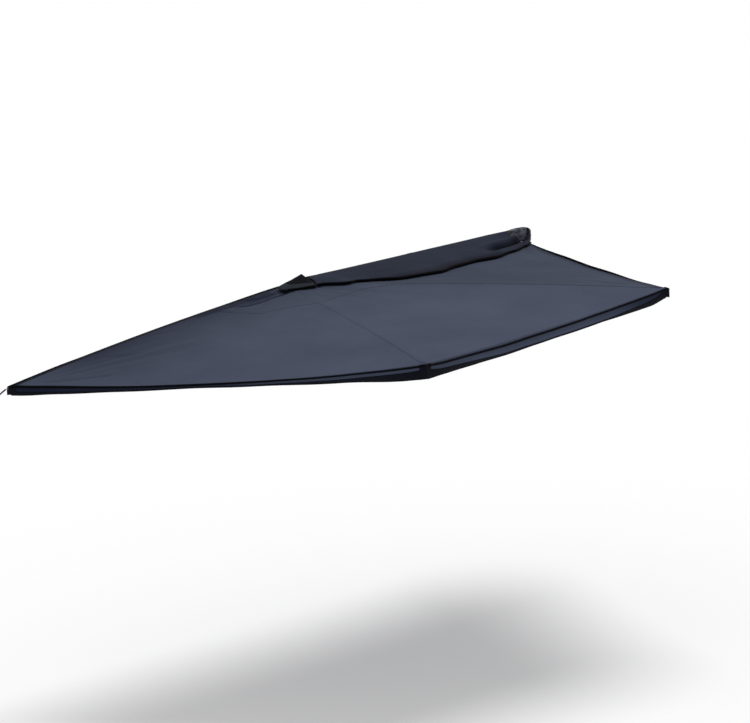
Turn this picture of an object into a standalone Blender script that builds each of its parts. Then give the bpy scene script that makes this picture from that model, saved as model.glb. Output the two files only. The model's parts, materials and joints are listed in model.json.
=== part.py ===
"""Fan awning for the side of a vehicle, open.

A straight rail hangs on three rack brackets. At its rear end three arms turn on one leaning
kingpin, each tied to its neighbour by a sector of canopy, so the fan folds up beside the rail.
Each arm is an inverted channel with its own telescopic leg stowed in it.
+X runs along the rail to its front end, -Y points away from the vehicle, +Z is up. The origin
is the middle of the middle bracket's foot, on the face that sits on the roof rack.
"""

import bmesh
import bpy
from math import atan2, cos, pi, radians, sin, sqrt, tan
from mathutils import Matrix, Vector

for old_object in list(bpy.data.objects):
    bpy.data.objects.remove(old_object)

# Clearance left between neighbouring pieces.
GAP = 0.0003

# Rail, measured from the kingpin along X, from the pin across Y and from the fabric level up Z.
RAIL_START = 0.031
RAIL_FRONT = 0.0245
RAIL_DEPTH = 0.030
RAIL_HEIGHT = 0.095
RAIL_TOP = 0.025
RAIL_WALL = 0.0025
RAIL_END_CAP = 0.005
RAIL_MARGIN = 0.005
SLOT_MOUTH = 0.009
SLOT_POCKET_WIDTH = 0.018
SLOT_POCKET_DEPTH = 0.007
SLOT_LEVELS = (0.030, 0.070)
KEDER_RADIUS = 0.004
KEDER_MOUTH = 0.0035
KEDER_SETBACK = 0.008
KEDER_DEPTH = 0.0065

# Rack brackets.
BRACKET_WIDTH = 0.060
BRACKET_THICK = 0.005
BRACKET_DROP = 0.012
FOOT_LENGTH = 0.075
FOOT_SLOT_LENGTH = 0.042
FOOT_SLOT_WIDTH = 0.009
FOOT_SLOT_SPACING = 0.030
BRACKET_INSET = 0.260
RIB_SHARE = 0.6
RIB_THICK = 0.004

# Stud bars that slide in the T-slots, each with two studs and their nuts.
STUD_RADIUS = 0.004
STUD_HOLE_RADIUS = 0.0045
STUD_NUT_ACROSS = 0.013
STUD_NUT_HEIGHT = 0.0065
STUD_END = 0.003
STUD_BAR_WIDTH = 0.0125
STUD_BAR_THICK = 0.0045
STUD_BAR_MARGIN = 0.009
BRACKET_STUD_SPACING = 0.034

# Kingpin: it leans to the rear and towards the vehicle.
LEAN_BACK = radians(3)
LEAN_IN = radians(3)
PIN_RADIUS = 0.008
PIN_CLEARANCE = 0.0003
PIN_HEAD_ACROSS = 0.024
PIN_HEAD_HEIGHT = 0.010
NUT_HEIGHT = 0.013
NUT_DOME = 0.009
PLATE_THICK = 0.007
PLATE_EYE_RADIUS = 0.025
EAR_TOP = 0.006
EAR_THICK = 0.009
EAR_EYE_RADIUS = 0.021
EAR_WIDTH = 0.029
WASHER_THICK = 0.0014
WASHER_RADIUS = 0.0205
CASTING_START = 0.013
TONGUE_END = 0.170
TONGUE_THICK = 0.008
TONGUE_MARGIN = 0.008
TONGUE_STUDS = (0.062, 0.142)

# Fan: the angle of each canopy sector, from the rail round to the rear arm.
SECTORS = (radians(67), radians(53), radians(63))
NEST_PITCH = 0.040
FABRIC_REACH = 2.180
ARM_SHORT = 0.020
ARM_CAMBER = 0.020
ROOT_START = 0.078
ROOT_STAGGER = 0.015
KNEE_REACH = 0.070

# Arm channel, its root plug and its end cap.
CHANNEL_WIDTH = 0.034
CHANNEL_HEIGHT = 0.038
CHANNEL_WALL = 0.002
CHANNEL_CORNER = 0.003
CHANNEL_SPANS = 12
PLUG_LENGTH = 0.070
PLUG_NOSE = 0.010
EAR_END = 0.003
CROSS_PIN_RADIUS = 0.003
CROSS_PIN_HEAD_RADIUS = 0.0052
CROSS_PIN_HEAD_HEIGHT = 0.0014
RIVET_INSET = 0.040
END_CAP_FLANGE = 0.006
END_CAP_PLUG = 0.010

# Telescopic leg, stowed in the channel with its foot towards the kingpin.
LEG_PIVOT_INSET = 0.034
LEG_PIVOT_DEPTH = 0.0185
LEG_RADIUS = 0.011
LEG_WALL = 0.0012
LEG_LENGTH = 1.220
LEG_INNER_RADIUS = 0.0085
LEG_INNER_LENGTH = 1.050
LEG_FOOT_STANDOFF = 0.080
LEG_TRAVEL = 0.580
LEG_PLAY = 0.0025
LEG_FOOT_LENGTH = 0.045
LEG_FOOT_RADIUS = 0.0135
FOOT_CHAMFER = 0.003
FOOT_TREAD = 0.010
FOOT_SHOULDER = 0.016
KNUCKLE_RADIUS = 0.0115
KNUCKLE_THICK = 0.017
KNUCKLE_LENGTH = 0.020
KNUCKLE_PLUG = 0.030
COLLAR_RADIUS = 0.0142
COLLAR_LENGTH = 0.042
COLLAR_OVERHANG = 0.014

# Canopy and its edges.
CLOTH_THICK = 0.0016
CANOPY_START = 0.062
CANOPY_LIFT = 0.0006
PANEL_STEPS_ALONG = 14
PANEL_STEPS_ACROSS = 16
SHELF = 0.019
EDGE_HOLLOWS = (0.030, 0.020, 0.020)
MIDDLE_SAGS = (0.010, 0.012, 0.014)
EDGE_SAGS = (0.006, 0.014, 0.036)
SAG_SETTLES = 0.75
BATTEN_START = 0.075
BATTEN_WIDTH = 0.016
BATTEN_THICK = 0.003
BATTEN_DROP_REAR = 0.006
BATTEN_DROP_FRONT = 0.060
VALANCE_HEIGHTS = (
    ((0.0, 0.016), (0.5, 0.030), (1.0, 0.052)),
    ((0.0, 0.058), (0.5, 0.070), (1.0, 0.086)),
    ((0.0, 0.086), (0.1, 0.060), (0.2, 0.038), (0.55, 0.024), (0.8, 0.030), (1.0, 0.054)),
)

# Cover: the flap that wraps the folded fan, thrown open over the canopy.
COVER_REAR_EDGE = ((0.0, 0.110), (0.2, 0.1045), (0.55, 0.064), (1.0, 0.016))
COVER_FRONT_SKEW = 0.095
COVER_SHORT = 0.010
COVER_THICK = 0.0025
COVER_CROWN = 0.016
COVER_CROWN_REACH = 0.20
COVER_EDGE_LIFT = 0.011
COVER_REACHES = (
    (0.0, 0.18), (0.013, 0.19), (0.024, 0.245), (0.037, 0.30), (0.052, 0.325), (0.094, 0.287),
    (0.129, 0.34), (0.189, 0.44), (0.28, 0.45), (0.367, 0.443), (0.493, 0.372), (0.612, 0.318),
    (0.693, 0.32), (0.841, 0.228), (0.964, 0.115), (1.0, 0.085),
)
COVER_STEPS_ACROSS = 10
COVER_STEPS_ALONG = 24
BEAD_NECK_ANGLE = 0.35
BEAD_SIDES = 10
SOCK_THICK = 0.026
SOCK_OUT = 0.034
SOCK_DROP = 0.004
SOCK_CORNER = 0.018
SKIRT_LENGTH = 0.140
SKIRT_THICK = 0.0045
SKIRT_DEPTH = 0.065
SKIRT_LIP = 0.020
HUB_COVER_PEAK = (0.055, 0.0, 0.065)
HUB_COVER_FEET = (
    (0.105, 0.062, 0.0279), (0.008, 0.071, 0.0275), (-0.100, 0.045, 0.006), (-0.140, -0.050, 0.006),
    (-0.005, -0.165, 0.016), (0.058, -0.082, 0.022), (0.100, -0.010, 0.0279),
)

# Tip rings and the guy rope at the rear arm.
RING_RADIUS = 0.007
RING_WIRE = 0.0013
TAB_WIDTH = 0.012
TAB_LENGTH = 0.012
ROPE_RADIUS = 0.003
ROPE_LENGTH = 0.100
ROPE_DIRECTION = Vector((-0.77, 0.32, -0.56)).normalized()
HOOK_LENGTH = 0.045
HOOK_WIRE = 0.0022

BOLT_SIDES = 12
ROUND_SIDES = 24
TUBE_SIDES = 16

# Places that follow from the sizes.
SEAM_GAP = 3 * GAP
RAIL_END = FABRIC_REACH + RAIL_MARGIN
RAIL_LENGTH = RAIL_END - RAIL_START
RAIL_BACK = RAIL_FRONT + RAIL_DEPTH
RAIL_BOTTOM = RAIL_TOP - RAIL_HEIGHT
RAIL_MIDDLE = (RAIL_START + RAIL_END) / 2
BRACKET_FACE = RAIL_BACK + GAP
FOOT_MIDDLE = BRACKET_FACE + BRACKET_THICK + FOOT_LENGTH / 2
FOOT_LEVEL = RAIL_BOTTOM - BRACKET_DROP
PIN = Vector((-RAIL_MIDDLE, -FOOT_MIDDLE, -FOOT_LEVEL))
PIN_AXIS = Vector((-sin(LEAN_BACK), sin(LEAN_IN), 1)).normalized()
EAR_PITCH = EAR_THICK + WASHER_THICK + 2 * GAP
TOP_PLATE_UNDER = GAP - EAR_TOP
LOW_PLATE_TOP = -EAR_TOP - 2 * EAR_PITCH - EAR_THICK - GAP
SKIRT_START = RAIL_END - SKIRT_LENGTH
COVER_END = SKIRT_START - COVER_SHORT
ARM_REACH = FABRIC_REACH - ARM_SHORT
LEG_FOOT_START = LEG_LENGTH + LEG_FOOT_STANDOFF
LEG_INNER_START = LEG_FOOT_START - LEG_INNER_LENGTH


def lean_matrix():
    """Turns level axes to the kingpin's, with x kept in the rail's upright plane."""
    across = PIN_AXIS.cross(Vector((1, 0, 0))).normalized()
    along = across.cross(PIN_AXIS)
    return Matrix((along, across, PIN_AXIS)).transposed().to_4x4()


LEAN = lean_matrix()
PIN_FRAME = Matrix.Translation(PIN) @ LEAN
RAIL_FRAME = Matrix.Translation(PIN)


def arm_offset(number):
    """How far an arm's centreline passes beside the kingpin, so that the arms nest."""
    return NEST_PITCH * number


def swing(number):
    """Turns arm 0, 1 or 2 from folded beside the rail to open, about the kingpin."""
    angle = -sum(SECTORS[: number + 1])
    turn = Matrix.Rotation(angle, 4, PIN_AXIS)
    return Matrix.Translation(PIN) @ turn @ Matrix.Translation(-PIN)


def arm_frame(number):
    """An open arm's own axes: x along it from beside the kingpin, z up from its top face."""
    return swing(number) @ Matrix.Translation(PIN + Vector((0, -arm_offset(number), 0)))


def camber(x):
    """Rise of the arched arms above the straight line from kingpin to tip."""
    share = x / FABRIC_REACH
    return 4 * ARM_CAMBER * share * (1 - share)


# Collections and materials.
parts = bpy.data.collections.new("fan_awning")
tools = bpy.data.collections.new("cutters")
bpy.context.scene.collection.children.link(parts)
bpy.context.scene.collection.children.link(tools)
tools.hide_render = True


def material(name, colour, roughness, metallic=0.0):
    """A Principled material with a plain finish."""
    made = bpy.data.materials.new(name)
    made.use_nodes = True
    shader = made.node_tree.nodes["Principled BSDF"]
    shader.inputs["Base Color"].default_value = (*colour, 1)
    shader.inputs["Roughness"].default_value = roughness
    shader.inputs["Metallic"].default_value = metallic
    made.diffuse_color = (*colour, 1)
    return made


CANOPY_CLOTH = material("canopy_cloth", (0.062, 0.076, 0.110), 0.62)
COVER_CLOTH = material("cover_cloth", (0.030, 0.037, 0.050), 0.55)
BINDING = material("black_webbing", (0.008, 0.009, 0.013), 0.80)
BLACK_COAT = material("black_powder_coat", (0.012, 0.012, 0.013), 0.45)
ALUMINIUM = material("anodised_aluminium", (0.52, 0.53, 0.55), 0.32, 1.0)
STEEL = material("zinc_plated_steel", (0.46, 0.46, 0.45), 0.35, 1.0)
CAST = material("cast_aluminium", (0.30, 0.31, 0.32), 0.50, 1.0)
BLACK_PLASTIC = material("black_plastic", (0.015, 0.015, 0.016), 0.50)
RUBBER = material("black_rubber", (0.010, 0.010, 0.010), 0.85)
ROPE = material("guy_rope", (0.020, 0.022, 0.028), 0.80)


# Modelling steps.
def weld(mesh):
    """Closes the loose caps that a converted curve has."""
    shell = bmesh.new()
    shell.from_mesh(mesh)
    bmesh.ops.remove_doubles(shell, verts=shell.verts, dist=1e-6)
    bmesh.ops.recalc_face_normals(shell, faces=shell.faces)
    shell.to_mesh(mesh)
    shell.free()
    return mesh


def finish_mesh(shell, name):
    """Turns a bmesh into a mesh with its faces pointing out."""
    bmesh.ops.recalc_face_normals(shell, faces=shell.faces)
    mesh = bpy.data.meshes.new(name)
    shell.to_mesh(mesh)
    shell.free()
    return mesh


def curve_mesh(curve):
    """The mesh of a curve, taken from the object as it is evaluated."""
    holder = bpy.data.objects.new("curve_holder", curve)
    bpy.context.scene.collection.objects.link(holder)
    bpy.context.view_layer.update()
    shown = holder.evaluated_get(bpy.context.evaluated_depsgraph_get())
    mesh = bpy.data.meshes.new_from_object(shown)
    bpy.data.objects.remove(holder)
    return weld(mesh)


def plate(outline, thickness, holes=()):
    """A flat piece cut to an outline, with through holes, centred on z = 0."""
    curve = bpy.data.curves.new("outline", "CURVE")
    curve.dimensions = "2D"
    curve.fill_mode = "BOTH"
    curve.extrude = thickness / 2
    for ring in (outline, *holes):
        spline = curve.splines.new("POLY")
        spline.points.add(len(ring) - 1)
        spline.use_cyclic_u = True
        for point, (x, y) in zip(spline.points, ring):
            point.co = (x, y, 0, 1)
    return curve_mesh(curve)


def wire(points, radius, cyclic=False, sides_level=2):
    """A round wire or rope along a line of points."""
    curve = bpy.data.curves.new("wire", "CURVE")
    curve.dimensions = "3D"
    curve.bevel_depth = radius
    curve.bevel_resolution = sides_level
    curve.use_fill_caps = True
    spline = curve.splines.new("POLY")
    spline.points.add(len(points) - 1)
    spline.use_cyclic_u = cyclic
    for point, place in zip(spline.points, points):
        point.co = (*place, 1)
    return curve_mesh(curve)


def swept(outline, stations):
    """An outline in y and z carried along x, lifted by each station's rise."""
    shell = bmesh.new()
    first_x, first_rise = stations[0]
    ring = [shell.verts.new((first_x, y, z + first_rise)) for y, z in outline]
    face = shell.faces.new(ring)
    for index, (x, rise) in enumerate(stations[1:]):
        last_x, last_rise = stations[index]
        grown = bmesh.ops.extrude_face_region(shell, geom=[face])["geom"]
        if index > 0:
            bmesh.ops.delete(shell, geom=[face], context="FACES_ONLY")
        face = next(part for part in grown if isinstance(part, bmesh.types.BMFace))
        bmesh.ops.translate(shell, verts=face.verts, vec=(x - last_x, 0, rise - last_rise))
    return finish_mesh(shell, "swept")


def box(low, high):
    """A block between two corners."""
    low, high = Vector(low), Vector(high)
    shell = bmesh.new()
    bmesh.ops.create_cube(shell, size=1)
    bmesh.ops.scale(shell, verts=shell.verts, vec=high - low)
    bmesh.ops.translate(shell, verts=shell.verts, vec=(low + high) / 2)
    return finish_mesh(shell, "box")


def rod(radius, low, high, sides=ROUND_SIDES):
    """A solid round bar along z."""
    shell = bmesh.new()
    bmesh.ops.create_cone(
        shell, cap_ends=True, segments=sides, radius1=radius, radius2=radius, depth=high - low
    )
    bmesh.ops.translate(shell, verts=shell.verts, vec=(0, 0, (low + high) / 2))
    return finish_mesh(shell, "rod")


def circle(radius, sides=ROUND_SIDES, centre=(0, 0)):
    """The points of a round hole or disc."""
    angles = [2 * pi * index / sides for index in range(sides)]
    return [(centre[0] + radius * cos(a), centre[1] + radius * sin(a)) for a in angles]


def slot_outline(length, width, centre, turns=6):
    """A slot with round ends, long in y."""
    radius = width / 2
    reach = length / 2 - radius
    points = []
    for start, shift in ((0, reach), (pi, -reach)):
        for index in range(turns + 1):
            angle = start + pi * index / turns
            points.append((centre[0] + radius * cos(angle), centre[1] + shift + radius * sin(angle)))
    return points


def rounded_box_outline(low, high, radius, turns=2):
    """A rectangle with rounded corners, as points."""
    points = []
    corners = ((high[0], high[1], 0), (low[0], high[1], 1), (low[0], low[1], 2), (high[0], low[1], 3))
    for x, y, quarter in corners:
        centre_x = x - radius if x == high[0] else x + radius
        centre_y = y - radius if y == high[1] else y + radius
        for index in range(turns + 1):
            angle = pi / 2 * (quarter + index / turns)
            points.append((centre_x + radius * cos(angle), centre_y + radius * sin(angle)))
    return points


def lug_outline(radius, far_corners, sides=14):
    """A round eye at the origin with straight sides to the far corners, counterclockwise."""
    middle = sum((Vector(corner) for corner in far_corners), Vector((0, 0))) / len(far_corners)
    heading = atan2(middle.y, middle.x)
    points = []
    for index in range(sides + 1):
        angle = heading + pi / 2 + pi * index / sides
        points.append((radius * cos(angle), radius * sin(angle)))
    return points + list(far_corners)


def shade(thing, angle=35):
    """Smooth faces with the hard edges kept."""
    thing.data.shade_smooth()
    thing.data.set_sharp_from_angle(angle=radians(angle))


def add(name, mesh, matrix, finish, parent=None, collection=parts):
    """Places a mesh as a named piece, carried by its joint's empty where it moves."""
    thing = bpy.data.objects.new(name, mesh)
    mesh.name = name
    collection.objects.link(thing)
    if finish:
        mesh.materials.clear()
        mesh.materials.append(finish)
    if parent:
        thing.parent = parent
        thing.matrix_parent_inverse = parent_places[parent.name].inverted()
    thing.matrix_basis = matrix
    shade(thing)
    return thing


def tool(name, mesh, matrix):
    """A shape that is only cut from or joined to a piece."""
    thing = add(name, mesh, matrix, None, collection=tools)
    thing.hide_render = True
    thing.display_type = "WIRE"
    return thing


def combine(target, other, operation):
    """Cuts a tool from a piece, or joins it on."""
    step = target.modifiers.new(other.name, "BOOLEAN")
    step.operation = operation
    step.object = other
    step.solver = "EXACT"


def turned(name, profile, matrix, finish, parent=None, sides=ROUND_SIDES, collection=parts):
    """A profile of radius and height, from the top down its outer side, turned about z."""
    shell = bmesh.new()
    ring = [shell.verts.new((radius, 0, height)) for radius, height in profile]
    for first, second in zip(ring, ring[1:]):
        shell.edges.new((first, second))
    if profile[0][0] > 0:
        shell.edges.new((ring[-1], ring[0]))
    mesh = bpy.data.meshes.new(name)
    shell.to_mesh(mesh)
    shell.free()
    thing = add(name, mesh, matrix, finish, parent, collection)
    screw = thing.modifiers.new("turn", "SCREW")
    screw.angle = 2 * pi
    screw.steps = sides
    screw.render_steps = sides
    screw.use_merge_vertices = True
    screw.merge_threshold = 0.00001
    screw.use_normal_calculate = profile[0][0] == 0
    return thing


def joint_empty(name, matrix, parent=None):
    """An empty on a joint's axis, which carries the pieces that move with it."""
    empty = bpy.data.objects.new(name, None)
    parts.objects.link(empty)
    empty.empty_display_size = 0.05
    if parent:
        empty.parent = parent
        empty.matrix_parent_inverse = parent_places[parent.name].inverted()
    empty.matrix_basis = matrix
    parent_places[name] = matrix
    return empty


parent_places = {}


# Rail and what fixes it.
def keder_outline(radius, mouth, level, top):
    """Keyhole groove: down one lip, round the bead's hole and up the other lip."""
    half = mouth / 2
    opening = pi / 2 - atan2(half, radius)
    centre = level - KEDER_DEPTH if top else level + KEDER_DEPTH
    sign = 1 if top else -1
    points = [(KEDER_SETBACK + half, level)]
    for index in range(9):
        angle = opening - (2 * pi - 2 * (pi / 2 - opening)) * index / 8
        points.append((KEDER_SETBACK + radius * cos(angle), centre + sign * radius * sin(angle)))
    points.append((KEDER_SETBACK - half, level))
    return points


def rail_outline():
    """Section of the extrusion: two T-slots behind, a keder groove above and one below."""
    mouth, pocket = SLOT_MOUTH / 2, SLOT_POCKET_WIDTH / 2
    lip = RAIL_DEPTH - RAIL_WALL
    floor = lip - SLOT_POCKET_DEPTH
    points = [(0, 0)] + keder_outline(KEDER_RADIUS, KEDER_MOUTH, 0, False)[::-1] + [(RAIL_DEPTH, 0)]
    for level in SLOT_LEVELS:
        points += [(RAIL_DEPTH, level - mouth), (lip, level - mouth), (lip, level - pocket)]
        points += [(floor, level - pocket), (floor, level + pocket), (lip, level + pocket)]
        points += [(lip, level + mouth), (RAIL_DEPTH, level + mouth)]
    points.append((RAIL_DEPTH, RAIL_HEIGHT))
    return points + keder_outline(KEDER_RADIUS, KEDER_MOUTH, RAIL_HEIGHT, True) + [(0, RAIL_HEIGHT)]


def rail_cavity():
    """The hollow of the extrusion, in front of the T-slots and between the keder grooves."""
    edge = KEDER_DEPTH + KEDER_RADIUS + RAIL_WALL
    floor = RAIL_DEPTH - RAIL_WALL - SLOT_POCKET_DEPTH
    return [
        (RAIL_WALL, edge), (floor - RAIL_WALL, edge),
        (floor - RAIL_WALL, RAIL_HEIGHT - edge), (RAIL_WALL, RAIL_HEIGHT - edge),
    ]


# Section axes: the outline's x is the rail's y and the outline's y is its z.
SECTION_TURN = Matrix(((0, 0, 1, 0), (1, 0, 0, 0), (0, 1, 0, 0), (0, 0, 0, 1)))


def section_frame(x):
    """Places a section across the rail at x."""
    return RAIL_FRAME @ Matrix.Translation((x, RAIL_FRONT, RAIL_BOTTOM)) @ SECTION_TURN


def make_rail():
    rail = plate(rail_outline(), RAIL_LENGTH, [rail_cavity()])
    add("backbone_rail", rail, section_frame(RAIL_MIDDLE), BLACK_COAT)
    cap_outline = rounded_box_outline((0, 0), (RAIL_DEPTH, RAIL_HEIGHT), CHANNEL_CORNER)
    cap = plate(cap_outline, RAIL_END_CAP - GAP)
    cap_middle = RAIL_END + GAP + (RAIL_END_CAP - GAP) / 2
    cap = add("rail_end_cap", cap, section_frame(cap_middle), BLACK_PLASTIC)
    edge = KEDER_DEPTH + KEDER_RADIUS + RAIL_WALL + GAP
    plug_back = RAIL_DEPTH - 2 * RAIL_WALL - SLOT_POCKET_DEPTH - GAP
    low = (RAIL_END - 2 * END_CAP_PLUG, RAIL_FRONT + RAIL_WALL + GAP, RAIL_BOTTOM + edge)
    high = (RAIL_END + RAIL_END_CAP / 2, RAIL_FRONT + plug_back, RAIL_TOP - edge)
    combine(cap, tool("rail_end_cap_plug", box(low, high), RAIL_FRAME), "UNION")


def hex_prism(across, low, high):
    """A hexagon head or nut about z."""
    shell = bmesh.new()
    radius = across / 2 / cos(pi / 6)
    bmesh.ops.create_cone(
        shell, cap_ends=True, segments=6, radius1=radius, radius2=radius, depth=high - low
    )
    bmesh.ops.translate(shell, verts=shell.verts, vec=(0, 0, (low + high) / 2))
    return finish_mesh(shell, "hexagon")


def stud_bar(name, places, level, grip):
    """A bar in the T-slot's pocket with a stud at each place and a nut on the clamped plate."""
    under_lip = -RAIL_WALL - GAP
    outer = 2 * GAP + grip
    half = STUD_BAR_WIDTH / 2
    height = RAIL_BOTTOM + level
    turn = Matrix.Rotation(-pi / 2, 4, "X")
    middle = sum(places) / len(places)
    frame = RAIL_FRAME @ Matrix.Translation((middle, RAIL_BACK, height)) @ turn
    reach = (max(places) - min(places)) / 2 + STUD_BAR_MARGIN
    body = box((-reach, -half, under_lip - STUD_BAR_THICK), (reach, half, under_lip))
    bar = add(name, body, frame, STEEL)
    for index, x in enumerate(places):
        spot = frame @ Matrix.Translation((x - middle, 0, 0))
        end = outer + STUD_NUT_HEIGHT + STUD_END
        shank = rod(STUD_RADIUS, under_lip - STUD_BAR_THICK / 2, end, BOLT_SIDES)
        combine(bar, tool(f"{name}_stud_{index}", shank, spot), "UNION")
        nut = hex_prism(STUD_NUT_ACROSS, outer, outer + STUD_NUT_HEIGHT)
        combine(bar, tool(f"{name}_nut_{index}", nut, spot), "UNION")


def bracket_stations():
    """Where the three brackets stand along the rail."""
    return (
        ("rear", RAIL_START + BRACKET_INSET),
        ("mid", RAIL_MIDDLE),
        ("front", RAIL_END - BRACKET_INSET),
    )


def make_bracket(word, x):
    """An angle bracket: an upright leg bolted to the rail and a slotted foot on the rack."""
    half = BRACKET_WIDTH / 2
    upright = RAIL_HEIGHT + BRACKET_DROP
    height = BRACKET_DROP + SLOT_LEVELS[1]
    spots = [(side * BRACKET_STUD_SPACING / 2, height) for side in (-1, 1)]
    holes = [circle(STUD_HOLE_RADIUS, BOLT_SIDES, spot) for spot in spots]
    leg_outline = rounded_box_outline((-half, 0), (half, upright), BRACKET_THICK)
    leg = plate(leg_outline, BRACKET_THICK, holes)
    leg_place = Matrix.Translation((x, BRACKET_FACE + BRACKET_THICK / 2, FOOT_LEVEL))
    bracket = add(
        f"rack_bracket_{word}", leg, RAIL_FRAME @ leg_place @ Matrix.Rotation(pi / 2, 4, "X"), BLACK_COAT
    )
    slots = []
    for side in (-1, 1):
        centre = (side * FOOT_SLOT_SPACING / 2, BRACKET_THICK + FOOT_LENGTH / 2)
        slots.append(slot_outline(FOOT_SLOT_LENGTH, FOOT_SLOT_WIDTH, centre))
    foot_outline = rounded_box_outline((-half, 0), (half, BRACKET_THICK + FOOT_LENGTH), BRACKET_THICK)
    foot = plate(foot_outline, BRACKET_THICK, slots)
    foot_place = Matrix.Translation((x, BRACKET_FACE, FOOT_LEVEL + BRACKET_THICK / 2))
    combine(bracket, tool(f"rack_bracket_foot_{word}", foot, RAIL_FRAME @ foot_place), "UNION")
    for side in (-1, 1):
        web = [(0, 0), (FOOT_LENGTH * RIB_SHARE, 0), (0, upright * RIB_SHARE)]
        rib = plate(web, RIB_THICK)
        place = Vector((x + side * (half - BRACKET_THICK), BRACKET_FACE + BRACKET_THICK * 0.9, 0))
        place.z = FOOT_LEVEL + BRACKET_THICK * 0.9
        frame = RAIL_FRAME @ Matrix.Translation(place) @ SECTION_TURN
        combine(bracket, tool(f"rack_bracket_rib_{word}_{side}", rib, frame), "UNION")


def make_rack_fixing():
    half = BRACKET_STUD_SPACING / 2
    for word, x in bracket_stations():
        make_bracket(word, x)
        stud_bar(f"bracket_stud_bar_{word}", (x - half, x + half), SLOT_LEVELS[1], BRACKET_THICK)


# Hub: casting, kingpin and what is stacked on it.
def make_hub_casting():
    """Two kingpin plates and a tongue behind the rail, cast in one round an upright block."""
    back = RAIL_BACK + TONGUE_THICK + GAP
    block = box((CASTING_START, RAIL_FRONT, RAIL_BOTTOM), (RAIL_START - GAP, back, RAIL_TOP))
    casting = add("hub_casting", block, RAIL_FRAME, CAST)
    low = RAIL_BOTTOM + TONGUE_MARGIN
    high = RAIL_TOP - TONGUE_MARGIN
    middle = (CASTING_START + TONGUE_END) / 2
    holes = []
    for x in TONGUE_STUDS:
        for level in SLOT_LEVELS:
            height = RAIL_BOTTOM + level - (low + high) / 2
            holes.append(circle(STUD_HOLE_RADIUS, BOLT_SIDES, (x - middle, height)))
    half = (TONGUE_END - CASTING_START) / 2
    rise = (high - low) / 2
    tongue = plate(rounded_box_outline((-half, -rise), (half, rise), TONGUE_THICK), TONGUE_THICK, holes)
    place = Matrix.Translation((middle, RAIL_BACK + GAP + TONGUE_THICK / 2, (low + high) / 2))
    turn = Matrix.Rotation(pi / 2, 4, "X")
    combine(casting, tool("hub_tongue", tongue, RAIL_FRAME @ place @ turn), "UNION")
    bore = [circle(PIN_RADIUS + PIN_CLEARANCE)]
    middles = (TOP_PLATE_UNDER + PLATE_THICK / 2, LOW_PLATE_TOP - PLATE_THICK / 2)
    for word, middle in zip(("top", "low"), middles):
        # The pin leans, so a lower plate reaches further along the rail unless it is cut back.
        drift = PIN_AXIS.x * (middle - PLATE_THICK / 2)
        near = RAIL_START - 4 * GAP + min(0, -abs(drift))
        corners = [(near, RAIL_FRONT + 3 * GAP), (near, RAIL_BACK), (CASTING_START + 3 * GAP, RAIL_BACK)]
        lug = plate(lug_outline(PLATE_EYE_RADIUS, corners), PLATE_THICK, bore)
        frame = PIN_FRAME @ Matrix.Translation((0, 0, middle))
        combine(casting, tool(f"hub_plate_{word}", lug, frame), "UNION")


def make_kingpin():
    head_top = LOW_PLATE_TOP - PLATE_THICK - GAP
    nut_low = TOP_PLATE_UNDER + PLATE_THICK + GAP
    shank_top = nut_low + NUT_HEIGHT - GAP
    shank = rod(PIN_RADIUS, head_top - PIN_HEAD_HEIGHT / 2, shank_top)
    pin = add("kingpin", shank, PIN_FRAME, STEEL)
    head = hex_prism(PIN_HEAD_ACROSS, head_top - PIN_HEAD_HEIGHT, head_top)
    combine(pin, tool("kingpin_head", head, PIN_FRAME), "UNION")
    nut_top = nut_low + NUT_HEIGHT
    nut = add("kingpin_acorn_nut", hex_prism(PIN_HEAD_ACROSS, nut_low, nut_top), PIN_FRAME, STEEL)
    half = PIN_HEAD_ACROSS / 2 - GAP
    turns = 5
    dome = [(half * sin(pi / 2 * step / turns), nut_top + NUT_DOME * cos(pi / 2 * step / turns))
            for step in range(turns + 1)]
    profile = dome + [(half, nut_top - GAP * 5), (0, nut_top - GAP * 5)]
    cap = turned("kingpin_nut_dome", profile, PIN_FRAME, None, collection=tools)
    cap.hide_render = True
    combine(nut, cap, "UNION")
    bore = rod(PIN_RADIUS + PIN_CLEARANCE, nut_low - GAP, nut_top)
    combine(nut, tool("kingpin_nut_bore", bore, PIN_FRAME), "DIFFERENCE")


def make_thrust_washers():
    """A washer under each ear but the lowest, so that the arms swing freely on each other."""
    for index in range(2):
        top = -EAR_TOP - EAR_THICK - GAP - index * EAR_PITCH
        disc = plate(circle(WASHER_RADIUS), WASHER_THICK, [circle(PIN_RADIUS + PIN_CLEARANCE)])
        frame = PIN_FRAME @ Matrix.Translation((0, 0, top - WASHER_THICK / 2))
        add(f"thrust_washer_{index + 1}", disc, frame, STEEL)


# Arms.
def channel_outline():
    """Inverted channel, its top face at z = 0."""
    half = CHANNEL_WIDTH / 2
    inner = half - CHANNEL_WALL
    corner = CHANNEL_CORNER
    points = [(half, -CHANNEL_HEIGHT)]
    for centre, start in ((half - corner, 0), (corner - half, pi / 2)):
        for index in range(3):
            angle = start + pi / 4 * index
            points.append((centre + corner * cos(angle), -corner + corner * sin(angle)))
    points += [(-half, -CHANNEL_HEIGHT), (-inner, -CHANNEL_HEIGHT)]
    return points + [(-inner, -CHANNEL_WALL), (inner, -CHANNEL_WALL), (inner, -CHANNEL_HEIGHT)]


def arched_stations(start, end, spans):
    """Stations along the arched arm."""
    places = [start + (end - start) * index / spans for index in range(spans + 1)]
    return [(x, camber(x)) for x in places]


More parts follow.
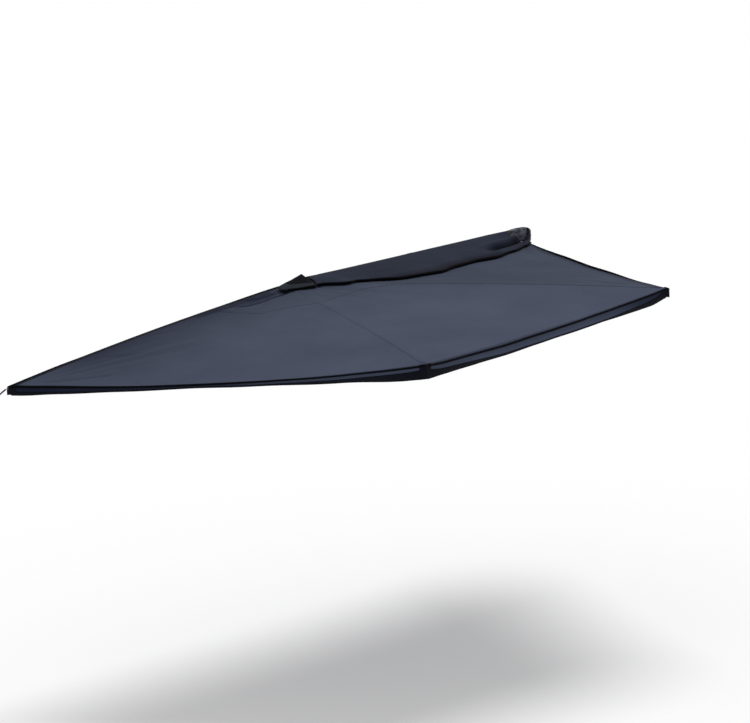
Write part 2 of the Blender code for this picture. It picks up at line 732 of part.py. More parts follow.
def cross_pin(name, x, z, frame, finish, parent):
    """A pin through both walls of the channel, with a low head on each side."""
    half = CHANNEL_WIDTH / 2 + GAP
    spot = frame @ Matrix.Translation((x, 0, z)) @ Matrix.Rotation(pi / 2, 4, "X")
    reach = half + CROSS_PIN_HEAD_HEIGHT / 2
    pin = add(name, rod(CROSS_PIN_RADIUS, -reach, reach, BOLT_SIDES), spot, finish, parent)
    for side in (-1, 1):
        ends = sorted((side * half, side * (half + CROSS_PIN_HEAD_HEIGHT)))
        head = rod(CROSS_PIN_HEAD_RADIUS, *ends, BOLT_SIDES)
        combine(pin, tool(f"{name}_head_{side}", head, spot), "UNION")


def drill(target, name, x, z, frame):
    """A hole for a cross pin, through both walls."""
    spot = frame @ Matrix.Translation((x, 0, z)) @ Matrix.Rotation(pi / 2, 4, "X")
    hole = rod(CROSS_PIN_RADIUS + GAP, -CHANNEL_WIDTH, CHANNEL_WIDTH, BOLT_SIDES)
    combine(target, tool(f"{name}_hole", hole, spot), "DIFFERENCE")


def ear_outline(number, end):
    """Ear plate of an arm root, cranked beside the kingpin to the arm's own centreline."""
    offset = arm_offset(number)
    half = EAR_WIDTH / 2
    crank = atan2(offset, KNEE_REACH)
    shift = half * tan(crank / 2)
    return lug_outline(EAR_EYE_RADIUS, [
        (KNEE_REACH - shift, -offset - half), (end, -offset - half),
        (end, -offset + half), (KNEE_REACH + shift, -offset + half),
    ])


def make_arm(number):
    """Channel, root, end cap and rivets of one arm. Arm 2 is the first beyond the rail."""
    word = f"arm_{number + 2}"
    carrier = arm_empties[-1] if arm_empties else None
    pivot = joint_empty(f"{word}_swing", swing(number) @ PIN_FRAME, carrier)
    arm_empties.append(pivot)
    frame = arm_frame(number)
    start = ROOT_START + ROOT_STAGGER * number
    end = ARM_REACH - END_CAP_FLANGE - GAP
    channel = swept(channel_outline(), arched_stations(start, end, CHANNEL_SPANS))
    channel = add(f"{word}_channel", channel, frame, ALUMINIUM, pivot)
    inner = CHANNEL_WIDTH / 2 - CHANNEL_WALL - GAP
    plug_top = -CHANNEL_WALL - GAP
    plug_low = -CHANNEL_HEIGHT + CHANNEL_WALL
    plug_outline = rounded_box_outline((-inner, plug_low), (inner, plug_top), CHANNEL_WALL)
    stations = arched_stations(start - PLUG_NOSE, start + PLUG_LENGTH, 2)
    root = add(f"{word}_root", swept(plug_outline, stations), frame, CAST, pivot)
    bore = circle(PIN_RADIUS + PIN_CLEARANCE)
    ear = plate(ear_outline(number, start - EAR_END), EAR_THICK, [bore])
    level = -EAR_TOP - EAR_PITCH * number - EAR_THICK / 2
    ear_frame = swing(number) @ PIN_FRAME @ Matrix.Translation((0, 0, level))
    combine(root, tool(f"{word}_ear", ear, ear_frame), "UNION")
    rivet_x = start + RIVET_INSET
    rivet_z = camber(rivet_x) - CHANNEL_HEIGHT / 2
    drill(channel, f"{word}_channel_root", rivet_x, rivet_z, frame)
    drill(root, f"{word}_root", rivet_x, rivet_z, frame)
    cross_pin(f"{word}_rivet", rivet_x, rivet_z, frame, STEEL, pivot)
    make_end_cap(word, frame, pivot, inner, plug_top, plug_low)
    make_leg(word, frame, pivot, channel)


def make_end_cap(word, frame, pivot, inner, plug_top, plug_low):
    """Moulded cap: a flange over the channel's end and a plug inside it."""
    half = CHANNEL_WIDTH / 2
    flange_start = ARM_REACH - END_CAP_FLANGE
    outline = rounded_box_outline((-half, -CHANNEL_HEIGHT), (half, 0), CHANNEL_CORNER)
    flange = swept(outline, arched_stations(flange_start, ARM_REACH, 1))
    cap = add(f"{word}_end_cap", flange, frame, BLACK_PLASTIC, pivot)
    plug_outline = rounded_box_outline((-inner, plug_low), (inner, plug_top), CHANNEL_WALL)
    plug = swept(plug_outline, arched_stations(flange_start - END_CAP_PLUG, flange_start + GAP * 5, 1))
    combine(cap, tool(f"{word}_end_cap_plug", plug, frame), "UNION")


def make_leg(word, frame, pivot, channel):
    """Leg that folds down at the arm's tip and slides out: knuckle, tube, lock, inner tube, foot."""
    tip_x = ARM_REACH - LEG_PIVOT_INSET
    tip = Vector((tip_x, 0, camber(tip_x) - LEG_PIVOT_DEPTH))
    # The straight leg slopes so that its foot stays below the arched channel's top all the way out.
    out_x = tip_x - LEG_FOOT_START - LEG_FOOT_LENGTH - LEG_TRAVEL
    out_level = camber(out_x) - CHANNEL_WALL - LEG_PLAY - LEG_FOOT_RADIUS
    along = (Vector((out_x, 0, out_level)) - tip).normalized()
    across = Vector((0, 1, 0))
    axes = Matrix((along.cross(across), across, along)).transposed().to_4x4()
    leg_frame = frame @ Matrix.Translation(tip) @ axes
    name = word.replace("arm", "leg")
    drill(channel, f"{word}_channel_tip", tip.x, tip.z, frame)
    cross_pin(f"{name}_pivot_pin", tip.x, tip.z, frame, STEEL, pivot)
    fold = joint_empty(f"{name}_fold", leg_frame, pivot)
    slide = joint_empty(f"{name}_extend", leg_frame, fold)
    half = KNUCKLE_RADIUS * 0.8
    eye_outline = lug_outline(KNUCKLE_RADIUS, [(KNUCKLE_LENGTH, -half), (KNUCKLE_LENGTH, half)])
    eye = plate(eye_outline, KNUCKLE_THICK, [circle(CROSS_PIN_RADIUS + GAP, BOLT_SIDES)])
    # The eye's outline x runs down the leg and its flat faces look along the pin.
    eye_turn = Matrix(((0, 1, 0, 0), (0, 0, 1, 0), (1, 0, 0, 0), (0, 0, 0, 1)))
    knuckle = add(f"{name}_knuckle", eye, leg_frame @ eye_turn, BLACK_PLASTIC, fold)
    plug = rod(LEG_RADIUS - LEG_WALL - GAP, KNUCKLE_LENGTH * 0.8, KNUCKLE_LENGTH + KNUCKLE_PLUG, TUBE_SIDES)
    combine(knuckle, tool(f"{name}_knuckle_plug", plug, leg_frame), "UNION")
    tube_start = KNUCKLE_LENGTH + GAP
    bore = LEG_RADIUS - LEG_WALL
    tube = [(bore, LEG_LENGTH), (LEG_RADIUS, LEG_LENGTH), (LEG_RADIUS, tube_start), (bore, tube_start)]
    turned(f"{name}_outer_tube", tube, leg_frame, ALUMINIUM, fold, TUBE_SIDES)
    inner_bore = LEG_INNER_RADIUS - LEG_WALL
    inner = [
        (inner_bore, LEG_FOOT_START), (LEG_INNER_RADIUS, LEG_FOOT_START),
        (LEG_INNER_RADIUS, LEG_INNER_START), (inner_bore, LEG_INNER_START),
    ]
    turned(f"{name}_inner_tube", inner, leg_frame, ALUMINIUM, slide, TUBE_SIDES)
    make_leg_lock(name, leg_frame, fold)
    make_leg_foot(name, leg_frame, slide)


def make_leg_lock(name, leg_frame, fold):
    """Twist lock round the end of the outer tube, closing down to the inner tube."""
    outer_fit = LEG_RADIUS + GAP
    inner_fit = LEG_INNER_RADIUS + GAP
    end = LEG_LENGTH + COLLAR_OVERHANG
    start = end - COLLAR_LENGTH
    chamfer = COLLAR_RADIUS - outer_fit - GAP
    profile = [
        (inner_fit, end), (COLLAR_RADIUS - chamfer, end), (COLLAR_RADIUS, end - chamfer),
        (COLLAR_RADIUS, start + chamfer), (COLLAR_RADIUS - chamfer, start), (outer_fit, start),
        (outer_fit, LEG_LENGTH + GAP), (inner_fit, LEG_LENGTH + GAP),
    ]
    turned(f"{name}_twist_lock", profile, leg_frame, BLACK_PLASTIC, fold, TUBE_SIDES)


def make_leg_foot(name, leg_frame, slide):
    """Rubber foot pushed over the inner tube's end."""
    start = LEG_FOOT_START - KNUCKLE_PLUG / 2
    end = LEG_FOOT_START + LEG_FOOT_LENGTH
    fit = LEG_INNER_RADIUS + GAP
    neck = LEG_FOOT_RADIUS * 0.8
    profile = [
        (0, end), (neck, end), (LEG_FOOT_RADIUS, end - FOOT_CHAMFER),
        (LEG_FOOT_RADIUS, end - FOOT_TREAD), (neck, end - FOOT_SHOULDER), (neck, start), (fit, start),
        (fit, LEG_FOOT_START + GAP), (0, LEG_FOOT_START + GAP),
    ]
    turned(f"{name}_foot", profile, leg_frame, RUBBER, slide, TUBE_SIDES)


# Canopy.
def station_value(stations, share):
    """A size read at a share of the way through hand-set stations, eased between them."""
    for (low, near), (high, far) in zip(stations, stations[1:]):
        if share <= high:
            blend = (share - low) / (high - low)
            smooth = blend * blend * (3 - 2 * blend)
            return near + (far - near) * (blend + smooth) / 2
    return stations[-1][1]


def batten_drop(x):
    """How far below the fabric level the canopy's inner edge lies along the rail."""
    share = (x - BATTEN_START) / (RAIL_END - BATTEN_START)
    return BATTEN_DROP_REAR + (BATTEN_DROP_FRONT - BATTEN_DROP_REAR) * share


def rail_edge(share, side):
    """Canopy's inner edge, on the front of the batten, from the hub to the rail's front end."""
    x = CANOPY_START + (FABRIC_REACH - CANOPY_START) * share
    y = RAIL_FRONT - BATTEN_THICK - SEAM_GAP
    return PIN + Vector((x, y + side, -batten_drop(x)))


def arm_edge(number):
    """The line along an arm's top on which two sectors meet, or one beside it."""
    def edge(share, side):
        x = CANOPY_START + (FABRIC_REACH - CANOPY_START) * share
        return arm_frame(number) @ Vector((x, side, camber(x) + CANOPY_LIFT))
    return edge


EDGES = [rail_edge, arm_edge(0), arm_edge(1), arm_edge(2)]


def spread(number, across):
    """Real share of the way between two arms at a column of the sector's grid."""
    shelf = SHELF / (2 * FABRIC_REACH * sin(SECTORS[number] / 2))
    step = 1 / PANEL_STEPS_ACROSS
    if across < step:
        return shelf * across / step
    if across > 1 - step:
        return 1 - shelf * (1 - across) / step
    return shelf + (1 - 2 * shelf) * (across - step) / (1 - 2 * step)


def sag(number, way, along):
    """How far a sector's cloth hangs below the straight lines between its arms."""
    slack = MIDDLE_SAGS[number] * sin(pi / 2 * min(along / SAG_SETTLES, 1))
    return 4 * way * (1 - way) * (slack + EDGE_SAGS[number] * along ** 4)


def panel_point(number, across, along):
    """A point of a canopy sector: flat on its arms' tops, slack between, hollow at the edge."""
    way = spread(number, across)
    hollow = EDGE_HOLLOWS[number] * 4 * way * (1 - way) / (FABRIC_REACH - CANOPY_START)
    share = along * (1 - hollow)
    first, second = EDGES[number], EDGES[number + 1]
    step = 1 / PANEL_STEPS_ACROSS
    if across < step:
        return first(share, -SHELF * across / step)
    if across > 1 - step:
        return second(share, SHELF * (1 - across) / step)
    place = first(share, -SHELF).lerp(second(share, SHELF), (across - step) / (1 - 2 * step))
    inner = (way - spread(number, step)) / (1 - 2 * spread(number, step))
    return place - Vector((0, 0, sag(number, inner, along)))


def sheet(name, place, steps_across, steps_along, finish, parent, thickness=CLOTH_THICK):
    """A cloth piece: a grid laid out by a rule and given its thickness upwards or outwards."""
    shell = bmesh.new()
    bmesh.ops.create_grid(shell, x_segments=steps_across, y_segments=steps_along, size=0.5)
    for vert in shell.verts:
        vert.co = place(vert.co.x + 0.5, vert.co.y + 0.5)
    mesh = bpy.data.meshes.new(name)
    shell.to_mesh(mesh)
    shell.free()
    thing = add(name, mesh, Matrix.Identity(4), finish, parent)
    solid = thing.modifiers.new("thickness", "SOLIDIFY")
    solid.thickness = thickness
    solid.offset = 1
    solid.use_even_offset = False
    return thing


def make_canopy():
    """Three sectors of cloth, each between its two arms, and the hem hung from each outer edge."""
    words = ("front", "middle", "rear")
    for number, word in enumerate(words):
        carrier = arm_empties[number - 1] if number else None
        seam = GAP / SHELF / PANEL_STEPS_ACROSS

        def sector(across, along, number=number):
            low = 0 if number == 0 else seam
            high = 1 if number == 2 else 1 - seam
            return panel_point(number, min(max(across, low), high), along)

        sheet(f"canopy_{word}", sector, PANEL_STEPS_ACROSS, PANEL_STEPS_ALONG, CANOPY_CLOTH, carrier)

        def valance(across, along, number=number):
            end = 0.5 / PANEL_STEPS_ACROSS
            share = min(max(across, end), 1 - end)
            first, last = panel_point(number, 0, 1), panel_point(number, 1, 1)
            outward = Vector((0, 0, 1)).cross(last - first).normalized()
            way = spread(number, share)
            height = station_value(VALANCE_HEIGHTS[number], way)
            top = panel_point(number, share, 1) + outward * SEAM_GAP + Vector((0, 0, CLOTH_THICK))
            return top - Vector((0, 0, height)) * along

        sheet(f"valance_{word}", valance, PANEL_STEPS_ACROSS, 1, CANOPY_CLOTH, carrier)


def make_batten():
    """Flat strip that clamps the canopy's inner edge to the rail."""
    half = BATTEN_WIDTH / 2
    outline = [
        (BATTEN_START, -BATTEN_DROP_REAR - half), (RAIL_END, -BATTEN_DROP_FRONT - half),
        (RAIL_END, -BATTEN_DROP_FRONT + half), (BATTEN_START, -BATTEN_DROP_REAR + half),
    ]
    strip = plate(outline, BATTEN_THICK)
    place = Matrix.Translation((0, RAIL_FRONT - GAP - BATTEN_THICK / 2, 0))
    upright = Matrix.Rotation(pi / 2, 4, "X")
    add("canopy_batten", strip, RAIL_FRAME @ place @ upright, ALUMINIUM)


# Cover.
def canopy_level(x, y):
    """Height of the front sector's cloth at a place beside the rail, both from the kingpin."""
    front = RAIL_FRONT - BATTEN_THICK - SEAM_GAP
    side, back = sin(SECTORS[0]), 1 - cos(SECTORS[0])
    linear = front - (front - y) * back - x * side
    radius = (sqrt(linear ** 2 + 4 * side * x * front) - linear) / (2 * side)
    way = min((front - y) / (front + radius * side), 1)
    share = (radius - CANOPY_START) / (FABRIC_REACH - CANOPY_START)
    place = rail_edge(share, 0).lerp(arm_edge(0)(share, 0), way)
    return place.z - PIN.z - sag(0, way, share)


def cover_point(across, along):
    """A point under the flap: from the keder groove over the rail's corner and down to the canopy."""
    rear = station_value(COVER_REAR_EDGE, across)
    front = COVER_END + COVER_FRONT_SKEW * max(0, 2 * across - 1)
    x = rear + (front - rear) * along
    reach = station_value(COVER_REACHES, along)
    base = RAIL_TOP + GAP
    edge = canopy_level(x, RAIL_FRONT - reach) + COVER_EDGE_LIFT
    y = RAIL_FRONT + KEDER_SETBACK - across * (reach + KEDER_SETBACK)
    corner = KEDER_SETBACK / (reach + KEDER_SETBACK)
    fall = max(0, (across - corner) / (1 - corner))
    bulge = max(0, sin(pi * across ** 0.6)) ** 0.8
    rise = COVER_CROWN * min(1, reach / COVER_CROWN_REACH) * bulge
    return PIN + Vector((x, y, base + (edge - base) * fall + rise))


def make_cover():
    """Flap with its keder bead in the rail's top groove, hinged there to lift clear of the fan."""
    axis_place = PIN + Vector((RAIL_MIDDLE, RAIL_FRONT + KEDER_SETBACK, RAIL_TOP - KEDER_DEPTH))
    lift = joint_empty("cover_lift", Matrix.Translation(axis_place))
    flap = sheet(
        "cover_flap", cover_point, COVER_STEPS_ACROSS, COVER_STEPS_ALONG, COVER_CLOTH, lift, COVER_THICK
    )
    bead_radius = KEDER_RADIUS - GAP
    neck = KEDER_MOUTH / 2 - 2 * GAP
    points = []
    for index in range(BEAD_SIDES + 1):
        angle = pi / 2 + BEAD_NECK_ANGLE + 2 * (pi - BEAD_NECK_ANGLE) * index / BEAD_SIDES
        points.append((bead_radius * cos(angle), bead_radius * sin(angle)))
    neck_top = KEDER_DEPTH + GAP + COVER_THICK / 2
    points += [(neck, neck_top), (-neck, neck_top)]
    start = COVER_REAR_EDGE[0][1]
    bead = plate(points, COVER_END - start)
    frame = Matrix.Translation(axis_place + Vector(((start + COVER_END) / 2 - RAIL_MIDDLE, 0, 0)))
    combine(flap, tool("cover_bead", bead, frame @ SECTION_TURN), "UNION")


def make_cover_sock():
    """Hood of the cover: a skirt over the rail's front end and the cloth gathered beyond it."""
    top = RAIL_HEIGHT + GAP + SKIRT_THICK
    back = RAIL_DEPTH + GAP + SKIRT_THICK
    outline = rounded_box_outline((-SOCK_OUT, -SOCK_DROP), (back, top), SOCK_CORNER, 3)
    pad = plate(outline, SOCK_THICK)
    middle = RAIL_END + RAIL_END_CAP + GAP + SOCK_THICK / 2
    sock = add("cover_end_sock", pad, section_frame(middle), COVER_CLOTH)
    front = -GAP - SKIRT_THICK
    low = RAIL_HEIGHT - SKIRT_DEPTH
    hook = [
        (front, low), (-GAP, low), (-GAP, RAIL_HEIGHT + GAP), (RAIL_DEPTH + GAP, RAIL_HEIGHT + GAP),
        (RAIL_DEPTH + GAP, RAIL_HEIGHT - SKIRT_LIP), (back, RAIL_HEIGHT - SKIRT_LIP), (back, top),
        (front, top),
    ]
    end = RAIL_END + RAIL_END_CAP + SOCK_THICK / 2
    skirt = plate(hook, end - SKIRT_START)
    combine(sock, tool("cover_skirt", skirt, section_frame((SKIRT_START + end) / 2)), "UNION")
    bevel = sock.modifiers.new("soft_edge", "BEVEL")
    bevel.width = SKIRT_THICK * 0.3
    bevel.segments = 2
    bevel.limit_method = "ANGLE"
    bevel.angle_limit = radians(60)


def make_hub_cover():
    """Peaked cloth cover over the kingpin's nut and the rail's rear end, open below."""
    shell = bmesh.new()
    sides = len(HUB_COVER_FEET)
    bmesh.ops.create_cone(
        shell, cap_ends=False, segments=sides, radius1=1, radius2=0, depth=1
    )
    apex = max(shell.verts, key=lambda vert: vert.co.z)
    feet = [vert for vert in shell.verts if vert is not apex]
    feet.sort(key=lambda vert: atan2(vert.co.y, vert.co.x) % (2 * pi))
    for vert, place in zip(feet, HUB_COVER_FEET):
        vert.co = place
    apex.co = HUB_COVER_PEAK
    mesh = finish_mesh(shell, "hub_cover")
    cover = add("hub_cover", mesh, RAIL_FRAME, COVER_CLOTH)
    solid = cover.modifiers.new("thickness", "SOLIDIFY")
    solid.thickness = COVER_THICK
    solid.offset = -1


# Tip rings and guy rope.
def tip_frame(number):
    """Axes at a canopy corner: x points outwards along the arm, z up."""
    return arm_frame(number) @ Matrix.Translation((FABRIC_REACH, 0, camber(FABRIC_REACH) + CANOPY_LIFT))


def make_tip_tab(number):
    """Webbing tab sewn to a canopy corner."""
    strap = box((GAP, -TAB_WIDTH / 2, -CLOTH_THICK), (GAP + TAB_LENGTH, TAB_WIDTH / 2, CLOTH_THICK))
    add(f"guy_tab_{number + 2}", strap, tip_frame(number), BINDING, arm_empties[number])


def make_guy_ring():
    """Round wire ring held by the rear arm's tab."""
    turns = 16
    points = [(RING_RADIUS * cos(a), RING_RADIUS * sin(a), 0) for a in
              (2 * pi * index / turns for index in range(turns))]
    middle = TAB_LENGTH + 2 * GAP + RING_RADIUS + RING_WIRE
    place = tip_frame(2) @ Matrix.Translation((middle, 0, 0))
    add("guy_ring", wire(points, RING_WIRE, True), place, STEEL, arm_empties[2])
    return place


def make_guy_rope(ring_place):
    """Short taut rope from the rear arm's ring to its hook."""
    ring = ring_place.translation
    flat = ring_place.to_3x3().col[2]
    outward = (ROPE_DIRECTION - flat * ROPE_DIRECTION.dot(flat)).normalized()
    start = ring + outward * RING_RADIUS + ROPE_DIRECTION * (RING_WIRE + 2 * GAP)
    steps = 20
    points = [start + ROPE_DIRECTION * (ROPE_LENGTH * index / steps) for index in range(steps + 1)]
    add("guy_rope", wire(points, ROPE_RADIUS), Matrix.Identity(4), ROPE, arm_empties[2])
    end = points[-1] + ROPE_DIRECTION * (GAP + HOOK_WIRE)
    side = ROPE_DIRECTION.cross(Vector((0, 0, 1))).normalized()
    up = side.cross(ROPE_DIRECTION)
    bend = HOOK_LENGTH / 5
    eye = [end + ROPE_DIRECTION * bend * (1 - cos(a)) + up * bend * sin(a) for a in
           (2 * pi * index / 12 for index in range(10))]
    hook_middle = end + ROPE_DIRECTION * (HOOK_LENGTH - bend)
    tail = [hook_middle + ROPE_DIRECTION * bend * sin(a) - up * bend * cos(a) for a in
            (pi * index / 6 for index in range(6))]
    add("guy_hook", wire(eye + tail, HOOK_WIRE), Matrix.Identity(4), STEEL, arm_empties[2])


arm_empties = []

make_rail()
make_rack_fixing()
make_hub_casting()
for slot_word, slot_level in zip(("lower", "upper"), SLOT_LEVELS):
    stud_bar(f"casting_stud_bar_{slot_word}", TONGUE_STUDS, slot_level, TONGUE_THICK)
make_kingpin()
make_thrust_washers()
for arm_number in range(3):
    make_arm(arm_number)
make_batten()
make_canopy()
make_cover()
make_cover_sock()
make_hub_cover()
for arm_number in (1, 2):
    make_tip_tab(arm_number)
make_guy_rope(make_guy_ring())
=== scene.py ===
"""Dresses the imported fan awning: cloth, covers, bindings, finishes, camera and light."""

import json
from functools import partial
from math import atan2, cos, exp, pi, radians, sin, sqrt, tau

import bmesh
import bpy
from mathutils import Matrix, Vector, noise


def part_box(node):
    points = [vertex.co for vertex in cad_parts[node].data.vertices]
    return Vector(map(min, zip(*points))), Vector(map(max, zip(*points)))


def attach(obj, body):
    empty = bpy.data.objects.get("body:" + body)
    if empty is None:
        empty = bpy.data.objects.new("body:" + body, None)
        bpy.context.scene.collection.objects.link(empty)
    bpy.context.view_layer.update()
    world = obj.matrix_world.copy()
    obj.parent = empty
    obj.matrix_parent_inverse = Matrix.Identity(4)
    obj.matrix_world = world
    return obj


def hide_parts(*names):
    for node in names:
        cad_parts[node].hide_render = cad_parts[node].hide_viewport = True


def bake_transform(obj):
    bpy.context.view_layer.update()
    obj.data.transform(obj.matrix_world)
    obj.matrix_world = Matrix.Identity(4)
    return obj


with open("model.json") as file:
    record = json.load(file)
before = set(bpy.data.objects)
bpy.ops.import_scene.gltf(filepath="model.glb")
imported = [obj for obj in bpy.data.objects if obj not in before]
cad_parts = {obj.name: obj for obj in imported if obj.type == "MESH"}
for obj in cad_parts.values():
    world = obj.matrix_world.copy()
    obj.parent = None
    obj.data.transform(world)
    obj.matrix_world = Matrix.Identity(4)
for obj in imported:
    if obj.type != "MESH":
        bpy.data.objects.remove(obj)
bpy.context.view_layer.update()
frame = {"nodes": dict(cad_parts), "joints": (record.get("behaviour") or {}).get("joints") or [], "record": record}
scene = bpy.context.scene
UP = Vector((0, 0, 1))

# Kingpin, arms and rail, as the CAD has them. Lengths are in metres; x is counted from the kingpin.
fan_joint = next(joint for joint in frame["joints"] if joint["name"] == "arm_2_swing")
PIN = Vector(fan_joint["pos_m"])
PIN_AXIS = Vector(fan_joint["axis"]).normalized()
SWINGS = (radians(67), radians(120), radians(183))
NEST_PITCH = 0.040
FABRIC_REACH = 2.180
CANOPY_START = 0.062
ARM_CAMBER = 0.020
ARM_SIDE = 0.0185
RAIL_END = 2.185
RAIL_FRONT = 0.0245
RAIL_DEPTH = 0.030
RAIL_TOP = 0.025
RAIL_BOTTOM = -0.070
BATTEN_START = 0.075
BATTEN_DROPS = (0.006, 0.060)
BATTEN_FACE = RAIL_FRONT - 0.0039
SECTOR_WORDS = ("front", "middle", "rear")

# The cloth: one value for each sector, and for the ridges one for each line between sectors.
EDGE_HOLLOWS = (0.030, 0.020, 0.020)
EDGE_SAGS = (0.006, 0.014, 0.036)
MIDDLE_SAGS = (0.010, 0.012, 0.014)
SEAM_RIDGES = (0.0, 0.0022, 0.0004, 0.0016)
RIDGE_WIDTH = 0.06
CANOPY_STEPS = ((90, 110), (90, 110), (150, 170))
CLOTH_THICK = 0.0008
CLOTH_LIFT = 0.0009
LAYER_GAP = 0.0002
COVER_THICK = 0.0014

# Uneven lie of the canopy: scale, offset between sectors, height.
UNEVENNESS = ((2.1, 7.0, 0.0035), (6.0, 5.0, 0.0008))

# The photograph's camera.
PHOTO_WIDTH = 750
FOCAL_PIXELS = 4075
CAMERA_FROM_PIN = Vector((-17.3647, -15.2163, 4.0577))
CAMERA_YAW = radians(49.873)
CAMERA_PITCH = radians(11.06)
CAMERA_ROLL = radians(-1.736)


def add_object(name, data):
    """A new object in the scene, at the origin."""
    made = bpy.data.objects.new(name, data)
    scene.collection.objects.link(made)
    return made


def place_camera():
    """A long lens from the front left, at the photograph's angle."""
    level = cos(CAMERA_PITCH)
    sight = Vector((sin(CAMERA_YAW) * level, cos(CAMERA_YAW) * level, -sin(CAMERA_PITCH)))
    level_right = Vector((cos(CAMERA_YAW), -sin(CAMERA_YAW), 0))
    level_up = level_right.cross(sight)
    right = level_right * cos(CAMERA_ROLL) + level_up * sin(CAMERA_ROLL)
    up = level_up * cos(CAMERA_ROLL) - level_right * sin(CAMERA_ROLL)
    lens = bpy.data.cameras.new("camera")
    lens.sensor_fit = "HORIZONTAL"
    lens.sensor_width = 36
    lens.lens = FOCAL_PIXELS / PHOTO_WIDTH * lens.sensor_width
    lens.clip_end = 400
    camera = add_object("camera", lens)
    turn = Matrix((right, up, -sight)).transposed().to_4x4()
    camera.matrix_world = Matrix.Translation(PIN + CAMERA_FROM_PIN) @ turn
    scene.camera = camera


place_camera()


def camber(x):
    """Rise of the arched arms."""
    share = x / FABRIC_REACH
    return 4 * ARM_CAMBER * share * (1 - share)


def arm_frame(number):
    """Axes of an open arm, x along it and z up from its top face."""
    turn = Matrix.Rotation(-SWINGS[number], 4, PIN_AXIS)
    return Matrix.Translation(PIN) @ turn @ Matrix.Translation((0, -NEST_PITCH * number, 0))


ARM_FRAMES = [arm_frame(number) for number in range(3)]
ARM_INVERSES = [matrix.inverted() for matrix in ARM_FRAMES]


def batten_drop(x):
    """How far below the fabric level the canopy is clamped at x along the rail."""
    share = (x - BATTEN_START) / (RAIL_END - BATTEN_START)
    return BATTEN_DROPS[0] + (BATTEN_DROPS[1] - BATTEN_DROPS[0]) * share


def sector_edge(number, share):
    """A point of the line where a sector starts: on the rail's batten, or on an arm's top."""
    x = CANOPY_START + (FABRIC_REACH - CANOPY_START) * share
    if number == 0:
        return PIN + Vector((x, BATTEN_FACE, -batten_drop(x)))
    return ARM_FRAMES[number - 1] @ Vector((x, 0, camber(x)))


def rim_length(number):
    """Length of a sector's outer edge, straight from arm tip to arm tip."""
    return (sector_edge(number, 1) - sector_edge(number + 1, 1)).length


def ease(value):
    """A smooth step from 0 to 1."""
    value = min(max(value, 0), 1)
    return value * value * (3 - 2 * value)


# Cloth materials and hard finishes.
def new_material(name, roughness, metallic=0.0):
    """A Principled material and its node tree."""
    made = bpy.data.materials.new(name)
    made.use_nodes = True
    shader = made.node_tree.nodes["Principled BSDF"]
    shader.inputs["Roughness"].default_value = roughness
    shader.inputs["Metallic"].default_value = metallic
    return made, shader


def link(material, source, target):
    """Joins an output socket to an input socket."""
    material.node_tree.links.new(source, target)


def node(material, kind, **settings):
    """A shader node with its settings and input values."""
    made = material.node_tree.nodes.new(kind)
    for key, value in settings.items():
        if key in made.inputs:
            made.inputs[key].default_value = value
        else:
            setattr(made, key, value)
    return made


def noise_over(material, place, **settings):
    """A noise texture's value over given coordinates."""
    made = node(material, "ShaderNodeTexNoise", **settings)
    link(material, place, made.inputs["Vector"])
    return made.outputs["Fac"]


def maths(material, operation, *values):
    """A value worked out from sockets and numbers."""
    made = node(material, "ShaderNodeMath", operation=operation)
    for target, value in zip(made.inputs, values):
        if isinstance(value, float):
            target.default_value = value
        else:
            link(material, value, target)
    return made.outputs["Value"]


def relief(material, height, strength, distance, under=None):
    """The normal of a bumped surface, on top of another relief if one is given."""
    made = node(material, "ShaderNodeBump", Strength=strength, Distance=distance)
    link(material, height, made.inputs["Height"])
    if under is not None:
        link(material, under, made.inputs["Normal"])
    return made.outputs["Normal"]


def overlay(material, share, colour, over, blend_type="MIX"):
    """A colour socket with one fixed colour laid over it, by a share."""
    made = node(material, "ShaderNodeMix", data_type="RGBA", blend_type=blend_type)
    link(material, share, made.inputs["Factor"])
    link(material, colour, made.inputs[6])
    made.inputs[7].default_value = (*over, 1)
    return made.outputs[2]


def colour_ramp(material, source, low, high):
    """A colour read off a value, between two stops of a place and a colour."""
    ramp = node(material, "ShaderNodeValToRGB")
    for element, (position, colour) in zip(ramp.color_ramp.elements, (low, high)):
        element.position = position
        element.color = (*colour, 1)
    link(material, source, ramp.inputs["Fac"])
    return ramp.outputs["Color"]


# The colour that painted shade multiplies the cloth's base by, where the shade is full.
SHADE_TINT = (0.02, 0.055, 0.18)
# A wave texture turns by this many radians for each unit of its scale.
WAVE_TURN = 20


